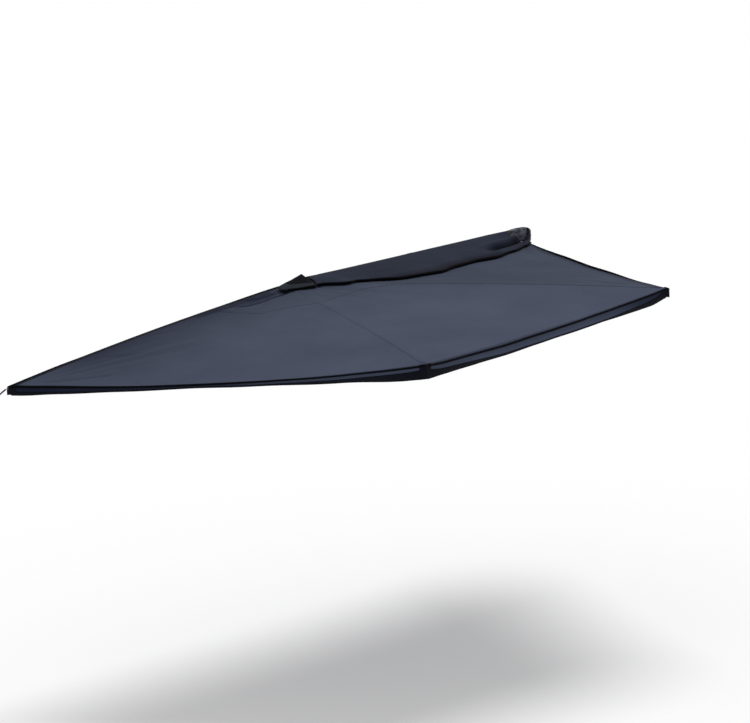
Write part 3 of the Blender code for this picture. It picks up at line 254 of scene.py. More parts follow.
def woven_cloth(
    name, dark, light, crease=30.0, thread=0.0012, roughness=0.85, sheen=0.0, gloss=0.15,
    depth=0.0035, patch=2.2,
):
    """Coated woven cloth: threads both ways on its own UV, soft creases and faint mottling."""
    cloth, shader = new_material(name, roughness)
    shader.inputs["Sheen Weight"].default_value = sheen
    shader.inputs["Sheen Roughness"].default_value = 0.5
    shader.inputs["Specular IOR Level"].default_value = gloss
    place = node(cloth, "ShaderNodeTexCoord").outputs["Object"]
    mottle = noise_over(cloth, place, Scale=patch, Detail=4.0, Roughness=0.55)
    base = colour_ramp(cloth, mottle, (0.32, dark), (0.68, light))
    # A point attribute of painted shade darkens the base colour here.
    painted_shade = node(cloth, "ShaderNodeAttribute", attribute_name="painted_shade").outputs["Fac"]
    base = overlay(cloth, painted_shade, base, SHADE_TINT, "MULTIPLY")
    link(cloth, base, shader.inputs["Base Color"])
    uv = node(cloth, "ShaderNodeUVMap", uv_map="cloth")
    waves = []
    for direction in ("X", "Y"):
        wave = node(
            cloth, "ShaderNodeTexWave", bands_direction=direction,
            Scale=1 / thread / WAVE_TURN, Distortion=0.0,
        )
        link(cloth, uv.outputs["UV"], wave.inputs["Vector"])
        waves.append(wave.outputs["Fac"])
    threads = relief(cloth, maths(cloth, "MULTIPLY", *waves), 0.25, thread * 0.3)
    crumple = noise_over(cloth, place, Scale=crease, Detail=5.0, Roughness=0.5, Distortion=0.6)
    link(cloth, relief(cloth, crumple, 0.5, depth, threads), shader.inputs["Normal"])
    return cloth


def powder_coat(name, colour, roughness, grain):
    """Fine orange-peel paint."""
    coat, shader = new_material(name, roughness)
    place = node(coat, "ShaderNodeTexCoord").outputs["Object"]
    speckle = noise_over(coat, place, Scale=grain, Detail=3.0)
    pale = tuple(channel * 1.5 + 0.004 for channel in colour)
    base = colour_ramp(coat, speckle, (0.35, colour), (0.75, pale))
    link(coat, base, shader.inputs["Base Color"])
    link(coat, relief(coat, speckle, 0.3, 0.0003), shader.inputs["Normal"])
    return coat


def drawn_metal(name, colour, roughness, stretch):
    """Bare metal with fine lines the way it was drawn, and faint handling marks."""
    metal, shader = new_material(name, roughness, 1.0)
    place = node(metal, "ShaderNodeTexCoord")
    lines = node(metal, "ShaderNodeMapping", Scale=stretch)
    link(metal, place.outputs["Object"], lines.inputs["Vector"])
    grain = noise_over(metal, lines.outputs["Vector"], Scale=90.0, Detail=4.0)
    worn = tuple(channel * 0.8 for channel in colour)
    base = colour_ramp(metal, grain, (0.3, worn), (0.7, colour))
    link(metal, base, shader.inputs["Base Color"])
    shine = {"To Min": roughness - 0.07, "To Max": roughness + 0.12}
    gloss = node(metal, "ShaderNodeMapRange", **shine)
    link(metal, grain, gloss.inputs["Value"])
    link(metal, gloss.outputs["Result"], shader.inputs["Roughness"])
    link(metal, relief(metal, grain, 0.12, 0.0002), shader.inputs["Normal"])
    return metal


CANOPY_TONES = ((0.052, 0.065, 0.106), (0.066, 0.081, 0.128))
CANOPY_CLOTH = woven_cloth("canopy_cloth", *CANOPY_TONES, 9.0, 0.0009, sheen=0.02)
COVER_CLOTH = woven_cloth(
    "cover_cloth", (0.0140, 0.0187, 0.0350), (0.0216, 0.0275, 0.0485), 14.0, gloss=0.10
)
# Its broad dark-to-light mottle is painted shade and light standing for the gathered folds.
HOOD_CLOTH = woven_cloth(
    "gathered_cover_cloth", (0.038, 0.043, 0.058), (0.190, 0.198, 0.236), 38.0,
    roughness=0.80, depth=0.018, patch=26.0,
)
HUB_CLOTH = woven_cloth(
    "hub_cover_cloth", (0.0010, 0.0010, 0.0024), (0.0034, 0.0034, 0.0066), gloss=0.08
)
CUFF_CLOTH = woven_cloth("cuff_cloth", (0.008, 0.013, 0.018), (0.015, 0.022, 0.029))
WEBBING = woven_cloth(
    "black_webbing", (0.005, 0.006, 0.010), (0.009, 0.010, 0.016), 40.0, 0.0016, sheen=0.02
)
HEM_CLOTH = woven_cloth(
    "hem_cloth", (0.0032, 0.0040, 0.0080), (0.0066, 0.0078, 0.0145), sheen=0.01, gloss=0.12
)
# Near black: the piping and zip roll are black, made darker still as painted shade for the groove beside the
# piping and below the roll.
PIPING_CLOTH = woven_cloth(
    "piping_cloth", (0.0008, 0.0008, 0.0020), (0.0020, 0.0020, 0.0045), roughness=0.9, gloss=0.10
)
ROPE_BRAID = woven_cloth(
    "rope_braid", (0.001, 0.001, 0.002), (0.006, 0.006, 0.009), 60.0, 0.0014, sheen=0.05
)
COATS = {
    "black_powder_coat": ((0.010, 0.010, 0.011), 0.42, 900.0),
    "black_plastic": ((0.012, 0.012, 0.013), 0.55, 500.0),
    "black_rubber": ((0.008, 0.008, 0.008), 0.85, 300.0),
}
METALS = {
    "anodised_aluminium": ((0.56, 0.57, 0.59), 0.34, (1, 1, 30)),
    "zinc_plated_steel": ((0.50, 0.50, 0.48), 0.32, (1, 1, 1)),
    "cast_aluminium": ((0.34, 0.35, 0.36), 0.52, (2, 2, 2)),
}
FINISHES = {"black_webbing": WEBBING}
FINISHES.update((name, powder_coat(name, *look)) for name, look in COATS.items())
FINISHES.update((name, drawn_metal(name, *look)) for name, look in METALS.items())


def finish_hard_pieces():
    """Gives each hard node of the CAD its finish."""
    for part in frame["record"]["subparts"]:
        finish = FINISHES.get(part["material_slot"])
        if not finish:
            continue
        thing = frame["nodes"][part["node"]]
        for material_slot in thing.material_slots:
            material_slot.material = finish


# Making and hanging cloth.
def cloth_grid(name, steps, place, size):
    """A sheet laid out by a rule over a grid, with its UV in metres."""
    shell = bmesh.new()
    bmesh.ops.create_grid(shell, x_segments=steps[0], y_segments=steps[1], size=0.5)
    layer = shell.loops.layers.uv.new("cloth")
    shares = {vert: (vert.co.x + 0.5, vert.co.y + 0.5) for vert in shell.verts}
    for face in shell.faces:
        for corner in face.loops:
            across, along = shares[corner.vert]
            corner[layer].uv = (across * size[0], along * size[1])
    for vert, (across, along) in shares.items():
        vert.co = place(across, along)
    return piece_from(shell, name)


def piece_from(shell, name):
    """An object at the origin from a bmesh."""
    mesh = bpy.data.meshes.new(name)
    shell.to_mesh(mesh)
    shell.free()
    mesh.shade_smooth()
    return add_object(name, mesh)


def sew(name, steps, place, size, material, thickness=0.0, offset=1):
    """A sheet with its material and its thickness."""
    thing = cloth_grid(name, steps, place, size)
    thing.data.materials.append(material)
    if thickness:
        solid = thing.modifiers.new("thickness", "SOLIDIFY")
        solid.thickness = thickness
        solid.offset = offset
    return thing


def mesh_area(thing):
    """Area of the cloth before it has its thickness."""
    return sum(face.area for face in thing.data.polygons)


def join_sector(thing):
    """Bakes a sector piece's placement into its mesh."""
    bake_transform(thing)


def edge_hollow(number, across):
    """How far a sector's rim is cut in toward the kingpin between its arms."""
    return EDGE_HOLLOWS[number] * 4 * across * (1 - across)


def canopy_point(number, across, along):
    """The stretched cloth: taut on its arms, a little slack between, with pulled creases."""
    share = along * (1 - edge_hollow(number, across) / (FABRIC_REACH - CANOPY_START))
    low, high = sector_edge(number, share), sector_edge(number + 1, share)
    place = low.lerp(high, across)
    width = (high - low).length
    from_low, from_high = across * width, (1 - across) * width
    ridge = SEAM_RIDGES[number] * exp(-((from_low / RIDGE_WIDTH) ** 2))
    ridge += SEAM_RIDGES[number + 1] * exp(-((from_high / RIDGE_WIDTH) ** 2))
    bow = 4 * across * (1 - across)
    middle_sag = MIDDLE_SAGS[number] * sin(pi * min(along, 0.75) / 1.5)
    sag = bow * (middle_sag + EDGE_SAGS[number] * along ** 4)
    lift = CLOTH_LIFT + ridge - sag + canopy_creases(number, place) * min(bow * 3, 1)
    return place + UP * lift


def creases_from(place, centre, heading, spread, reach, height, count):
    """Straight creases that fan out of a corner where the cloth is pulled."""
    offset = place - centre
    distance = offset.length
    if distance < 1e-4 or distance > reach:
        return 0
    angle = atan2(offset.y, offset.x) - heading
    angle = (angle + pi) % tau - pi
    fade = exp(-((angle / spread) ** 2)) * sin(pi * min(distance / reach, 1)) ** 0.8
    return height * fade * cos(angle / spread * pi * count)


# Fans of creases: heading (at a corner), spread, reach, height, count. A corner's fan starts with
# the number of the line between sectors whose tip it leaves.
HUB_CREASES = (0.55, 1.1, 0.0016, 4)
CORNER_CREASES = (
    ((0, radians(226), 0.22, 0.75, 0.0045, 2), (1, radians(80), 0.20, 0.8, 0.0030, 2)),
    (),
    ((3, radians(-22), 0.16, 1.3, 0.0030, 2),),
)

# Pulled folds of the rear sector: path in the rear arm's plane, depth, half width, darkness of the shade painted
# along it; a fold of no depth is painted shade alone.
REAR_FOLDS = (
    (((0.09, 0.030), (0.16, 0.066), (0.23, 0.077), (0.29, 0.070), (0.33, 0.048), (0.42, 0.015)),
     0.0095, 0.021, 1.0),
    (((0.05, 0.160), (0.10, 0.156), (0.15, 0.152), (0.19, 0.149), (0.235, 0.144), (0.28, 0.142),
      (0.34, 0.150), (0.395, 0.137), (0.44, 0.120), (0.468, 0.095), (0.490, 0.065), (0.510, 0.035)),
     0.0065, 0.0125, 1.0),
    (((0.24, 0.045), (0.32, 0.045), (0.42, 0.045), (0.52, 0.042), (0.64, 0.036), (0.76, 0.030),
      (0.90, 0.020)), 0.0, 0.026, 0.95),
    (((0.56, 0.140), (0.59, 0.130), (0.626, 0.105), (0.647, 0.030)), 0.0022, 0.010, 0.40),
    (((2.06, 0.060), (1.95, 0.165), (1.83, 0.280), (1.70, 0.400)), 0.0040, 0.020, 0.42),
    (((1.64, 0.040), (1.55, 0.110), (1.46, 0.200), (1.38, 0.290)), 0.0040, 0.026, 0.40),
    (((1.20, 0.020), (1.08, 0.095), (0.98, 0.150)), 0.0030, 0.024, 0.35),
)
# Painted shade beside a fold spreads wider where its darkness is over this.
DEEP_FOLD = 0.8
FOLD_SPREAD = 1.1
DEEP_SPREAD = 1.8


def path_nearness(path, x, y, width):
    """How close a point is to a path: 1 on it, 0 far off, fading out toward its two ends."""
    best, place = None, 0
    for index, ((x0, y0), (x1, y1)) in enumerate(zip(path, path[1:])):
        run_x, run_y = x1 - x0, y1 - y0
        way = min(max(((x - x0) * run_x + (y - y0) * run_y) / (run_x ** 2 + run_y ** 2), 0), 1)
        away = (x - x0 - run_x * way) ** 2 + (y - y0 - run_y * way) ** 2
        if best is None or away < best:
            best, place = away, (index + way) / (len(path) - 1)
    return exp(-best / width ** 2) * ease(place * 5) * ease((1 - place) * 5)


def canopy_creases(number, place):
    """Height of the creases at a point of the canopy."""
    total = 0
    for scale, offset, height in UNEVENNESS:
        total += noise.noise(Vector((place.x * scale, place.y * scale, number * offset))) * height
    total += creases_from(place, PIN, heading_of(number), *HUB_CREASES)
    for line, *crease in CORNER_CREASES[number]:
        total += creases_from(place, sector_edge(line, 1), *crease)
    if number == 2:
        spot = ARM_INVERSES[2] @ place
        for path, depth, width, _ in REAR_FOLDS:
            total -= depth * path_nearness(path, spot.x, spot.y, width)
    return total


def heading_of(number):
    """Compass of a sector's middle line seen from the kingpin."""
    starts = (0, *SWINGS)
    return -(starts[number] + starts[number + 1]) / 2


def mark_shade_points(thing, values):
    """Gives a piece its painted shade, point by point, for the cloth material."""
    layer = thing.data.attributes.new("painted_shade", "FLOAT", "POINT")
    layer.data.foreach_set("value", values)


def paint_shade_by_uv(thing, size, rule):
    """Paints each point's shade by a rule over its place across and along the sheet."""
    shades = [0.0] * len(thing.data.vertices)
    for corner, uv in zip(thing.data.loops, thing.data.uv_layers["cloth"].data):
        shades[corner.vertex_index] = rule(uv.uv[0] / size[0], uv.uv[1] / size[1])
    mark_shade_points(thing, shades)


def rail_side_shade(spot):
    """Painted shade near the rail's line, over more cloth at the front and less at the rear."""
    reach = 0.36 + 0.54 * ease((spot.x - 0.6) / 0.9)
    most = 0.50 + 0.24 * ease((0.6 - spot.x) / 0.6)
    limit = 0.0
    if spot.x < 0:
        limit = 0.12
        most *= 1 - 0.72 * ease((spot.length - 1.55) / 0.55)
    return most * exp(-max(limit - spot.y, 0) / reach)


def front_rim_shade(place):
    """Painted shade on the front sector: a little all over, and more along its rim."""
    distance = (place - PIN).length
    inner = min(0.42 - 0.13 * (distance - 0.85), 0.42) * (1 - 0.45 * ease((distance - 1.8) / 0.35))
    rim = (sector_edge(0, 1).lerp(sector_edge(1, 1), 0.5) - place).dot(rim_outward(0))
    return max(inner, 0.66 * exp(-(max(rim - 0.015, 0) / 0.07) ** 2))


def rear_fold_shade(x, y):
    """Painted shade in the rear sector's folds and between them and the rear arm."""
    limit = 0.155 - 0.11 * ease((x - 0.36) / 0.16)
    beside_arm = 0.90 * exp(-((max(y, 0) / limit) ** 6))
    most = beside_arm * ease((x - 0.10) / 0.08) * (1 - ease((x - 0.45) / 0.15))
    for path, _, width, darkness in REAR_FOLDS:
        spread = width * (DEEP_SPREAD if darkness > DEEP_FOLD else FOLD_SPREAD)
        most = max(most, darkness * path_nearness(path, x, y, spread))
    return most


def paint_sector_shade(thing, number):
    """More shade is painted beside the rail and in folds, and less further out."""
    values = []
    for vert in thing.data.vertices:
        value = rail_side_shade(vert.co - PIN)
        if number == 0:
            value = max(value, front_rim_shade(vert.co))
        if number == 2:
            spot = ARM_INVERSES[2] @ vert.co
            value = max(value, rear_fold_shade(spot.x, spot.y))
        values.append(value)
    mark_shade_points(thing, values)


def make_canopy():
    """The three stretched sectors, each with its rim's length and its cloth's area."""
    panels = []
    for number, word in enumerate(SECTOR_WORDS):
        chord = rim_length(number)
        panel = sew(
            f"canopy_cloth_{word}", CANOPY_STEPS[number], partial(canopy_point, number),
            (chord, FABRIC_REACH), CANOPY_CLOTH, CLOTH_THICK,
        )
        paint_sector_shade(panel, number)
        area = mesh_area(panel)
        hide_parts(f"canopy_{word}")
        join_sector(panel)
        panels.append((panel, chord, area))
    return panels


# Stations along each sector's rim: share of the way from its first arm to its second, and
# the value there, in metres. The valance shades are shares of painted shade.
VALANCE_HEIGHTS = (
    ((0.0, 0.016), (0.5, 0.030), (1.0, 0.050)),
    (
        (0.0, 0.052), (0.063, 0.066), (0.105, 0.065), (0.19, 0.063), (0.27, 0.059), (0.48, 0.062),
        (0.69, 0.068), (0.945, 0.075), (1.0, 0.080),
    ),
    (
        (0.0, 0.079), (0.04, 0.075), (0.2, 0.045), (0.4, 0.023), (0.55, 0.013), (0.75, 0.019),
        (0.88, 0.031), (1.0, 0.042),
    ),
)
# Where the dark hem starts down the hanging edge: a binding, reaching higher where it stands for painted shade
# under the edge.
HEM_AND_SHADE_STARTS = (
    ((0.0, 0.008), (1.0, 0.012)),
    (
        (0.0, 0.010), (0.05, 0.028), (0.105, 0.038), (0.25, 0.050), (0.48, 0.053), (0.69, 0.054),
        (0.945, 0.040), (1.0, 0.030),
    ),
    (
        (0.0, 0.026), (0.04, 0.030), (0.2, 0.026), (0.4, 0.014), (0.55, 0.006), (0.75, 0.008),
        (0.88, 0.018), (1.0, 0.020),
    ),
)
VALANCE_SHADES = (
    ((0.0, 0.8), (1.0, 0.8)),
    ((0.0, 0.75), (0.10, 0.62), (0.22, 0.20), (0.35, 0.0), (0.9, 0.0), (1.0, 0.12)),
    ((0.0, 0.08), (0.3, 0.18), (0.55, 0.65), (1.0, 0.85)),
)
PIPING_RADII = (
    ((0.0, 0.0050), (0.5, 0.0060), (0.8, 0.0055), (1.0, 0.0035)),
    ((0.0, 0.0060), (0.9, 0.0062), (1.0, 0.0060)),
    ((0.0, 0.0060), (0.2, 0.0050), (0.6, 0.0060), (1.0, 0.0070)),
)
PIPING_DROPS = (
    ((0.0, 0.0030), (0.25, -0.0050), (0.6, -0.0050), (0.85, 0.0030), (1.0, 0.0035)),
    ((0.0, 0.005), (0.27, 0.008), (0.48, 0.011), (0.69, 0.014), (0.945, 0.013), (1.0, 0.009)),
    ((0.0, 0.008), (0.2, 0.006), (0.5, -0.004), (1.0, -0.009)),
)
RIM_STARTS = (0.014, 0.004, 0.004)
RIM_STOP = 0.996
BULGES = (0.001, 0.008, 0.004)
VALANCE_GAP = 0.0012
VALANCE_UV = 0.07
RIM_STEPS = 90
HEM_OVERLAP = 0.0015
HEM_GAP = 0.0013
HEM_THICK = 0.0009
# Waves of the hanging edge: height and turns of the even ones, height and scale of the others.
EVEN_WAVES = (0.0016, 19)
LOOSE_WAVES = (0.0022, 14)
# Share of the rim over which the hanging edge's belly grows from each corner.
BELLY_RUN = 0.06


def station_value(stations, share):
    """A value read along given stations, eased between them."""
    for (low, near), (high, far) in zip(stations, stations[1:]):
        if share <= high:
            blend = (share - low) / (high - low)
            return near + (far - near) * (blend + ease(blend)) / 2
    return stations[-1][1]


def canopy_rim(number, across):
    """The canopy's outer edge."""
    return canopy_point(number, across, 1)


def rim_outward(number):
    """Level direction out of a sector across its outer edge."""
    run = sector_edge(number + 1, 1) - sector_edge(number, 1)
    return UP.cross(run).normalized()


def rim_share(number, across):
    """Share of a sector's rim that its sewn edge runs over."""
    return RIM_STARTS[number] + (RIM_STOP - RIM_STARTS[number]) * across


def at_rim(stations, number, across):
    """A station value at a place along a sector's sewn edge."""
    return station_value(stations[number], rim_share(number, across))


def round_section(centre, outward, radius, turn):
    """A point round the section of a level cord, turn being the share of the way round."""
    angle = tau * turn
    return centre + outward * (radius * cos(angle)) + UP * (radius * sin(angle))


def hang(number, across, drop, out=0.0):
    """A point on the cloth that hangs from a sector's rim and bellies out below its piping."""
    outward = rim_outward(number)
    rim = canopy_rim(number, rim_share(number, across))
    top = rim + outward * (VALANCE_GAP + out) + UP * CLOTH_THICK
    way = min(drop / at_rim(VALANCE_HEIGHTS, number, across), 1)
    grown = min(across, 1 - across, BELLY_RUN) / BELLY_RUN
    belly = BULGES[number] * sin(pi * way ** 1.2) * grown
    wave = EVEN_WAVES[0] * sin(across * EVEN_WAVES[1] + number * 2) * way
    loose = noise.noise(Vector((across * LOOSE_WAVES[1], way, number * 3)))
    wave += LOOSE_WAVES[0] * loose * way
    return top - UP * drop + outward * (belly + wave)


def valance_point(number, across, along):
    """The hanging edge, from the rim down to its hem."""
    return hang(number, across, at_rim(VALANCE_HEIGHTS, number, across) * along)


def hem_point(number, across, along):
    """The dark hem, on the outside of the hanging edge's lower part: a binding that also stands for painted shade
    there.
    """
    full = at_rim(VALANCE_HEIGHTS, number, across) + HEM_OVERLAP
    start = min(at_rim(HEM_AND_SHADE_STARTS, number, across), full * 0.9)
    return hang(number, across, start + (full - start) * along, HEM_GAP)


def piping_point(number, across, along):
    """A round cord sewn on the canopy's rim."""
    radius = station_value(PIPING_RADII[number], across)
    drop = station_value(PIPING_DROPS[number], across)
    centre = hang(number, across, max(drop, 0), radius * 0.3) + UP * -min(drop, 0)
    return round_section(centre, rim_outward(number), radius, along)


def make_valances():
    """Hanging edge under each sector's rim with painted shade on it, its dark hem partly standing for shade, and
    the piping sewn along the rim.
    """
    for number, word in enumerate(SECTOR_WORDS):
        chord = rim_length(number)
        size = (chord, VALANCE_UV)
        cloth = sew(
            f"valance_cloth_{word}", (RIM_STEPS, 12), partial(valance_point, number), size,
            CANOPY_CLOTH, CLOTH_THICK,
        )
        shades = VALANCE_SHADES[number]
        # The hanging edge gets painted shade along its rim, darker toward some corners.
        paint_shade_by_uv(cloth, size, lambda across, along: station_value(shades, across))
        tape = sew(
            f"hem_tape_and_shade_{word}", (RIM_STEPS, 6), partial(hem_point, number), (chord, 0.03),
            HEM_CLOTH, HEM_THICK,
        )
        piping = sew(
            f"rim_piping_{word}", (RIM_STEPS, 10), partial(piping_point, number), (chord, 0.02),
            PIPING_CLOTH,
        )
        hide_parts(f"valance_{word}")
        for thing in (cloth, tape, piping):
            join_sector(thing)


STITCH_HALF = 0.0005
STITCH_GAP = 0.15
STITCH_PITCH = 0.0042


def add_stitches(material, rows, thread):
    """Rows of stitches along the piece's length, drawn and raised on the cloth's own UV."""
    shader = material.node_tree.nodes["Principled BSDF"]
    base = shader.inputs["Base Color"].links[0].from_socket
    surface = shader.inputs["Normal"].links[0].from_socket
    uv = node(material, "ShaderNodeUVMap", uv_map="cloth")
    split = node(material, "ShaderNodeSeparateXYZ")
    link(material, uv.outputs["UV"], split.inputs["Vector"])
    beat = maths(material, "PINGPONG", split.outputs["Y"], STITCH_PITCH / 2)
    dash = maths(material, "GREATER_THAN", beat, STITCH_PITCH * STITCH_GAP)
    mask = 0.0
    for row in rows:
        line = maths(material, "COMPARE", split.outputs["X"], row, STITCH_HALF)
        mask = maths(material, "MAXIMUM", mask, line)
    stitch = maths(material, "MULTIPLY", mask, dash)
    link(material, overlay(material, stitch, base, thread), shader.inputs["Base Color"])
    link(material, relief(material, stitch, 0.6, 0.0004, surface), shader.inputs["Normal"])
    return material


POCKET_HALF = 0.034
POCKET_BEND = 0.30
POCKET_GAP = 0.0045
POCKET_RISE = 0.0035
POCKET_THICK = 0.0012
POCKET_NOSES = (0.013, 0.0, 0.0)
POCKET_HANGS = (-0.002, 0.003, -0.001)


def pocket_point(number, across, along):
    """The pocket round an arm's tip, as deep as the hanging edges on its two sides."""
    side = 2 * across - 1
    back = abs(side) * POCKET_HALF / FABRIC_REACH
    axes = ARM_FRAMES[number].to_3x3().col
    full = VALANCE_HEIGHTS[number][-1][1]
    if number == 2 and side > 0:
        outward = -axes[1]
        base = sector_edge(3, 1 - back) + outward * ARM_SIDE
    elif number == 2 or side < 0:
        outward = rim_outward(number)
        base = canopy_rim(number, 1 - back)
    else:
        outward = rim_outward(number + 1)
        base = canopy_rim(number + 1, back)
        full = VALANCE_HEIGHTS[number + 1][0][1]
    turn = exp(-((side / POCKET_BEND) ** 2))
    direction = outward.lerp(axes[0], turn).normalized()
    nose = POCKET_NOSES[number] * turn
    top = base + direction * (POCKET_GAP + nose) + UP * (POCKET_RISE - 0.4 * nose)
    return top - UP * ((full + POCKET_HANGS[number]) * along)


def make_corner_pockets():
    """Black pocket sewn round each corner, over the end of its arm."""
    for number in range(3):
        pocket = sew(
            f"corner_pocket_{number + 2}", (24, 6), partial(pocket_point, number),
            (2 * POCKET_HALF, 0.08), HEM_CLOTH, POCKET_THICK,
        )
        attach(pocket, f"arm_{number + 2}")


SEAM_TAPE = add_stitches(
    woven_cloth("seam_tape", *CANOPY_TONES, 9.0, 0.0009, sheen=0.02),
    (0.003, 0.021), (0.060, 0.073, 0.116),
)
EDGE_TAPE = add_stitches(
    woven_cloth("edge_tape", (0.008, 0.010, 0.018), (0.013, 0.015, 0.027), sheen=0.02),
    (0.003,), (0.030, 0.033, 0.045),
)
SEAM_TAPE_WIDTH = 0.024
SEAM_TAPE_THICK = 0.0003
SEAM_TAPE_REACH = (0.10, 0.985)


def seam_point(number, across, along):
    """The tape over the seam along an arm's top."""
    share = SEAM_TAPE_REACH[0] + (SEAM_TAPE_REACH[1] - SEAM_TAPE_REACH[0]) * along
    side = (across - 0.5) * SEAM_TAPE_WIDTH
    crown = SEAM_RIDGES[number + 1] * exp(-((side / RIDGE_WIDTH) ** 2))
    sideways = ARM_FRAMES[number].to_3x3().col[1] * side
    lift = CLOTH_LIFT + CLOTH_THICK + LAYER_GAP + crown
    return sector_edge(number + 1, share) + sideways + UP * lift


def make_arm_seams():
    """Doubled, stitched tape along the two middle arms, where the sectors are joined."""
    length = FABRIC_REACH * (SEAM_TAPE_REACH[1] - SEAM_TAPE_REACH[0])
    for number in (0, 1):
        tape = sew(
            f"seam_tape_{number + 2}", (6, 90), partial(seam_point, number),
            (SEAM_TAPE_WIDTH, length), SEAM_TAPE, SEAM_TAPE_THICK,
        )
        paint_sector_shade(tape, number)
        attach(tape, f"arm_{number + 2}")


# The binding's section, from the canopy's edge over the rear arm and down its outer side.
EDGE_BINDING_PATH = (
    Vector((0, 0.010, 0.0031)), Vector((0, -0.0150, 0.0034)),
    Vector((0, -0.0188, 0.0010)), Vector((0, -0.0188, -0.0120)),
)
BINDING_START = CANOPY_START - 0.014
BINDING_LENGTH = FABRIC_REACH - BINDING_START
BINDING_THICK = 0.0008
# The cord in it: its side and height on the arm, and radius; then how it settles between its ends.
WELT_SIDE = -0.0110
WELT_RISE = 0.0078
WELT_RADIUS = 0.0040
WELT_SINK = 0.0028
WELT_THINNING = 0.0012


def binding_point(across, along):
    """The binding, from the cloth's edge over the arm's top and its outer side."""
    x = BINDING_START + BINDING_LENGTH * along
    spot = round_path(EDGE_BINDING_PATH, 0.003, across)
    wave = 0.0006 * noise.noise(Vector((x * 9, across * 2, 11)))
    return ARM_FRAMES[2] @ Vector((x, spot.y, camber(x) + spot.z + wave))


def welt_point(across, along):
    """The cord under the binding."""
    x = BINDING_START + BINDING_LENGTH * along
    settled = ease((x - 0.1) / 0.5) * (1 - ease((x - 1.5) / 0.4))
    uneven = 0.0005 * noise.noise(Vector((x * 7, 4, 2)))
    radius = WELT_RADIUS - WELT_THINNING * settled + uneven
    angle = tau * across
    y = WELT_SIDE + radius * cos(angle)
    z = camber(x) + WELT_RISE - WELT_SINK * settled + radius * sin(angle)
    return ARM_FRAMES[2] @ Vector((x, y, z))


def make_edge_binding():
    """Binding along the rear arm, over the cloth's edge and the arm's outer side, with a cord."""
    binding = sew(
        "rear_edge_binding", (16, 110), binding_point, (0.042, BINDING_LENGTH),
        EDGE_TAPE, BINDING_THICK,
    )
    welt = sew(
        "rear_edge_welt", (12, 110), welt_point, (0.025, BINDING_LENGTH), WEBBING
    )
    for thing in (binding, welt):
        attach(thing, "arm_4")


PATCH_STEPS = ((40, 30), (40, 30), (120, 60))
PATCH_START = 0.05
PATCH_MARGIN = 0.012
PATCH_THICK = 0.0004
# How far out each hub patch reaches: share of the way across its sector, and of the arm's reach.
PATCH_SHARES = (
    ((0.0, 0.17), (0.5, 0.20), (1.0, 0.26)),
    ((0.0, 0.26), (0.25, 0.205), (0.75, 0.21), (1.0, 0.225)),
    ((0.0, 0.225), (0.3, 0.25), (0.55, 0.31), (1.0, 0.26)),
)


def patch_point(number, across, along):
    """The second layer of cloth, just over the sector's own."""
    across = PATCH_MARGIN + (1 - 2 * PATCH_MARGIN) * across
    reach = station_value(PATCH_SHARES[number], across) - PATCH_START
    place = canopy_point(number, across, PATCH_START + reach * along)
    return place + UP * (CLOTH_THICK + LAYER_GAP)


def make_hub_patches():
    """A second layer of cloth sewn over each sector round the hub, where it pulls hardest."""
    for number, word in enumerate(SECTOR_WORDS):
        patch = sew(
            f"hub_patch_{word}", PATCH_STEPS[number], partial(patch_point, number), (0.5, 0.5),
            CANOPY_CLOTH, PATCH_THICK,
        )
        paint_sector_shade(patch, number)
        join_sector(patch)


# Cover flap thrown open along the rail and over the canopy. Across runs from the rail to the zip
# edge, along from the hub to the front end; the stations are shares with a value in metres, or with
# a share across (the fold) or of the roll's radius.
COVER_END = 2.035
FLAP_UV = 0.45
COVER_REAR_EDGE = ((0.0, 0.110), (0.2, 0.1045), (0.55, 0.064), (1.0, 0.016))
COVER_FRONT_SKEW = 0.070
COVER_FRONT_HOLLOW = 0.070
COVER_REACHES = (
    (0.0, 0.18), (0.013, 0.19), (0.024, 0.245), (0.037, 0.30), (0.052, 0.325), (0.094, 0.287),
    (0.129, 0.34), (0.189, 0.44), (0.28, 0.45), (0.367, 0.443), (0.493, 0.372), (0.612, 0.318),
    (0.693, 0.32), (0.841, 0.236), (0.964, 0.141), (1.0, 0.104),
)
FOLD_LINE = ((0.0, 0.74), (0.84, 0.745), (0.93, 0.765), (1.0, 0.765))
# The fold's parts, from the rail outward: place beside the fold's line, half width, height.
FLAP_FOLDS = ((-0.15, 0.08, 0.016), (0.0, 0.06, -0.028), (0.14, 0.06, 0.004))
COVER_CROWN = 0.016
# Its waves: their height and turns at the zip edge, and how high the uneven ones rise.
FLAP_WAVES = (0.005, 21)
FLAP_RIPPLE = 0.0022
FLAP_GAP = 0.0006
ROLL_GAP = 0.0012
KEDER_SETBACK = 0.008
ROLL_RADIUS = 0.011
ROLL_SIZES = ((0.0, 0.75), (0.12, 0.85), (0.2, 1.0), (0.7, 1.0), (0.82, 0.62), (1.0, 0.45))


def canopy_level(x, y):
    """Height of the front sector's cloth at a place beside the rail, both from the kingpin."""
    front, side, back = BATTEN_FACE, sin(SWINGS[0]), 1 - cos(SWINGS[0])
    linear = front - (front - y) * back - x * side
    radius = (sqrt(linear ** 2 + 4 * side * x * front) - linear) / (2 * side)
    way = min((front - y) / (front + radius * side), 1)
    share = max((radius - CANOPY_START) / (FABRIC_REACH - CANOPY_START), 0)
    return canopy_point(0, way, share).z - PIN.z


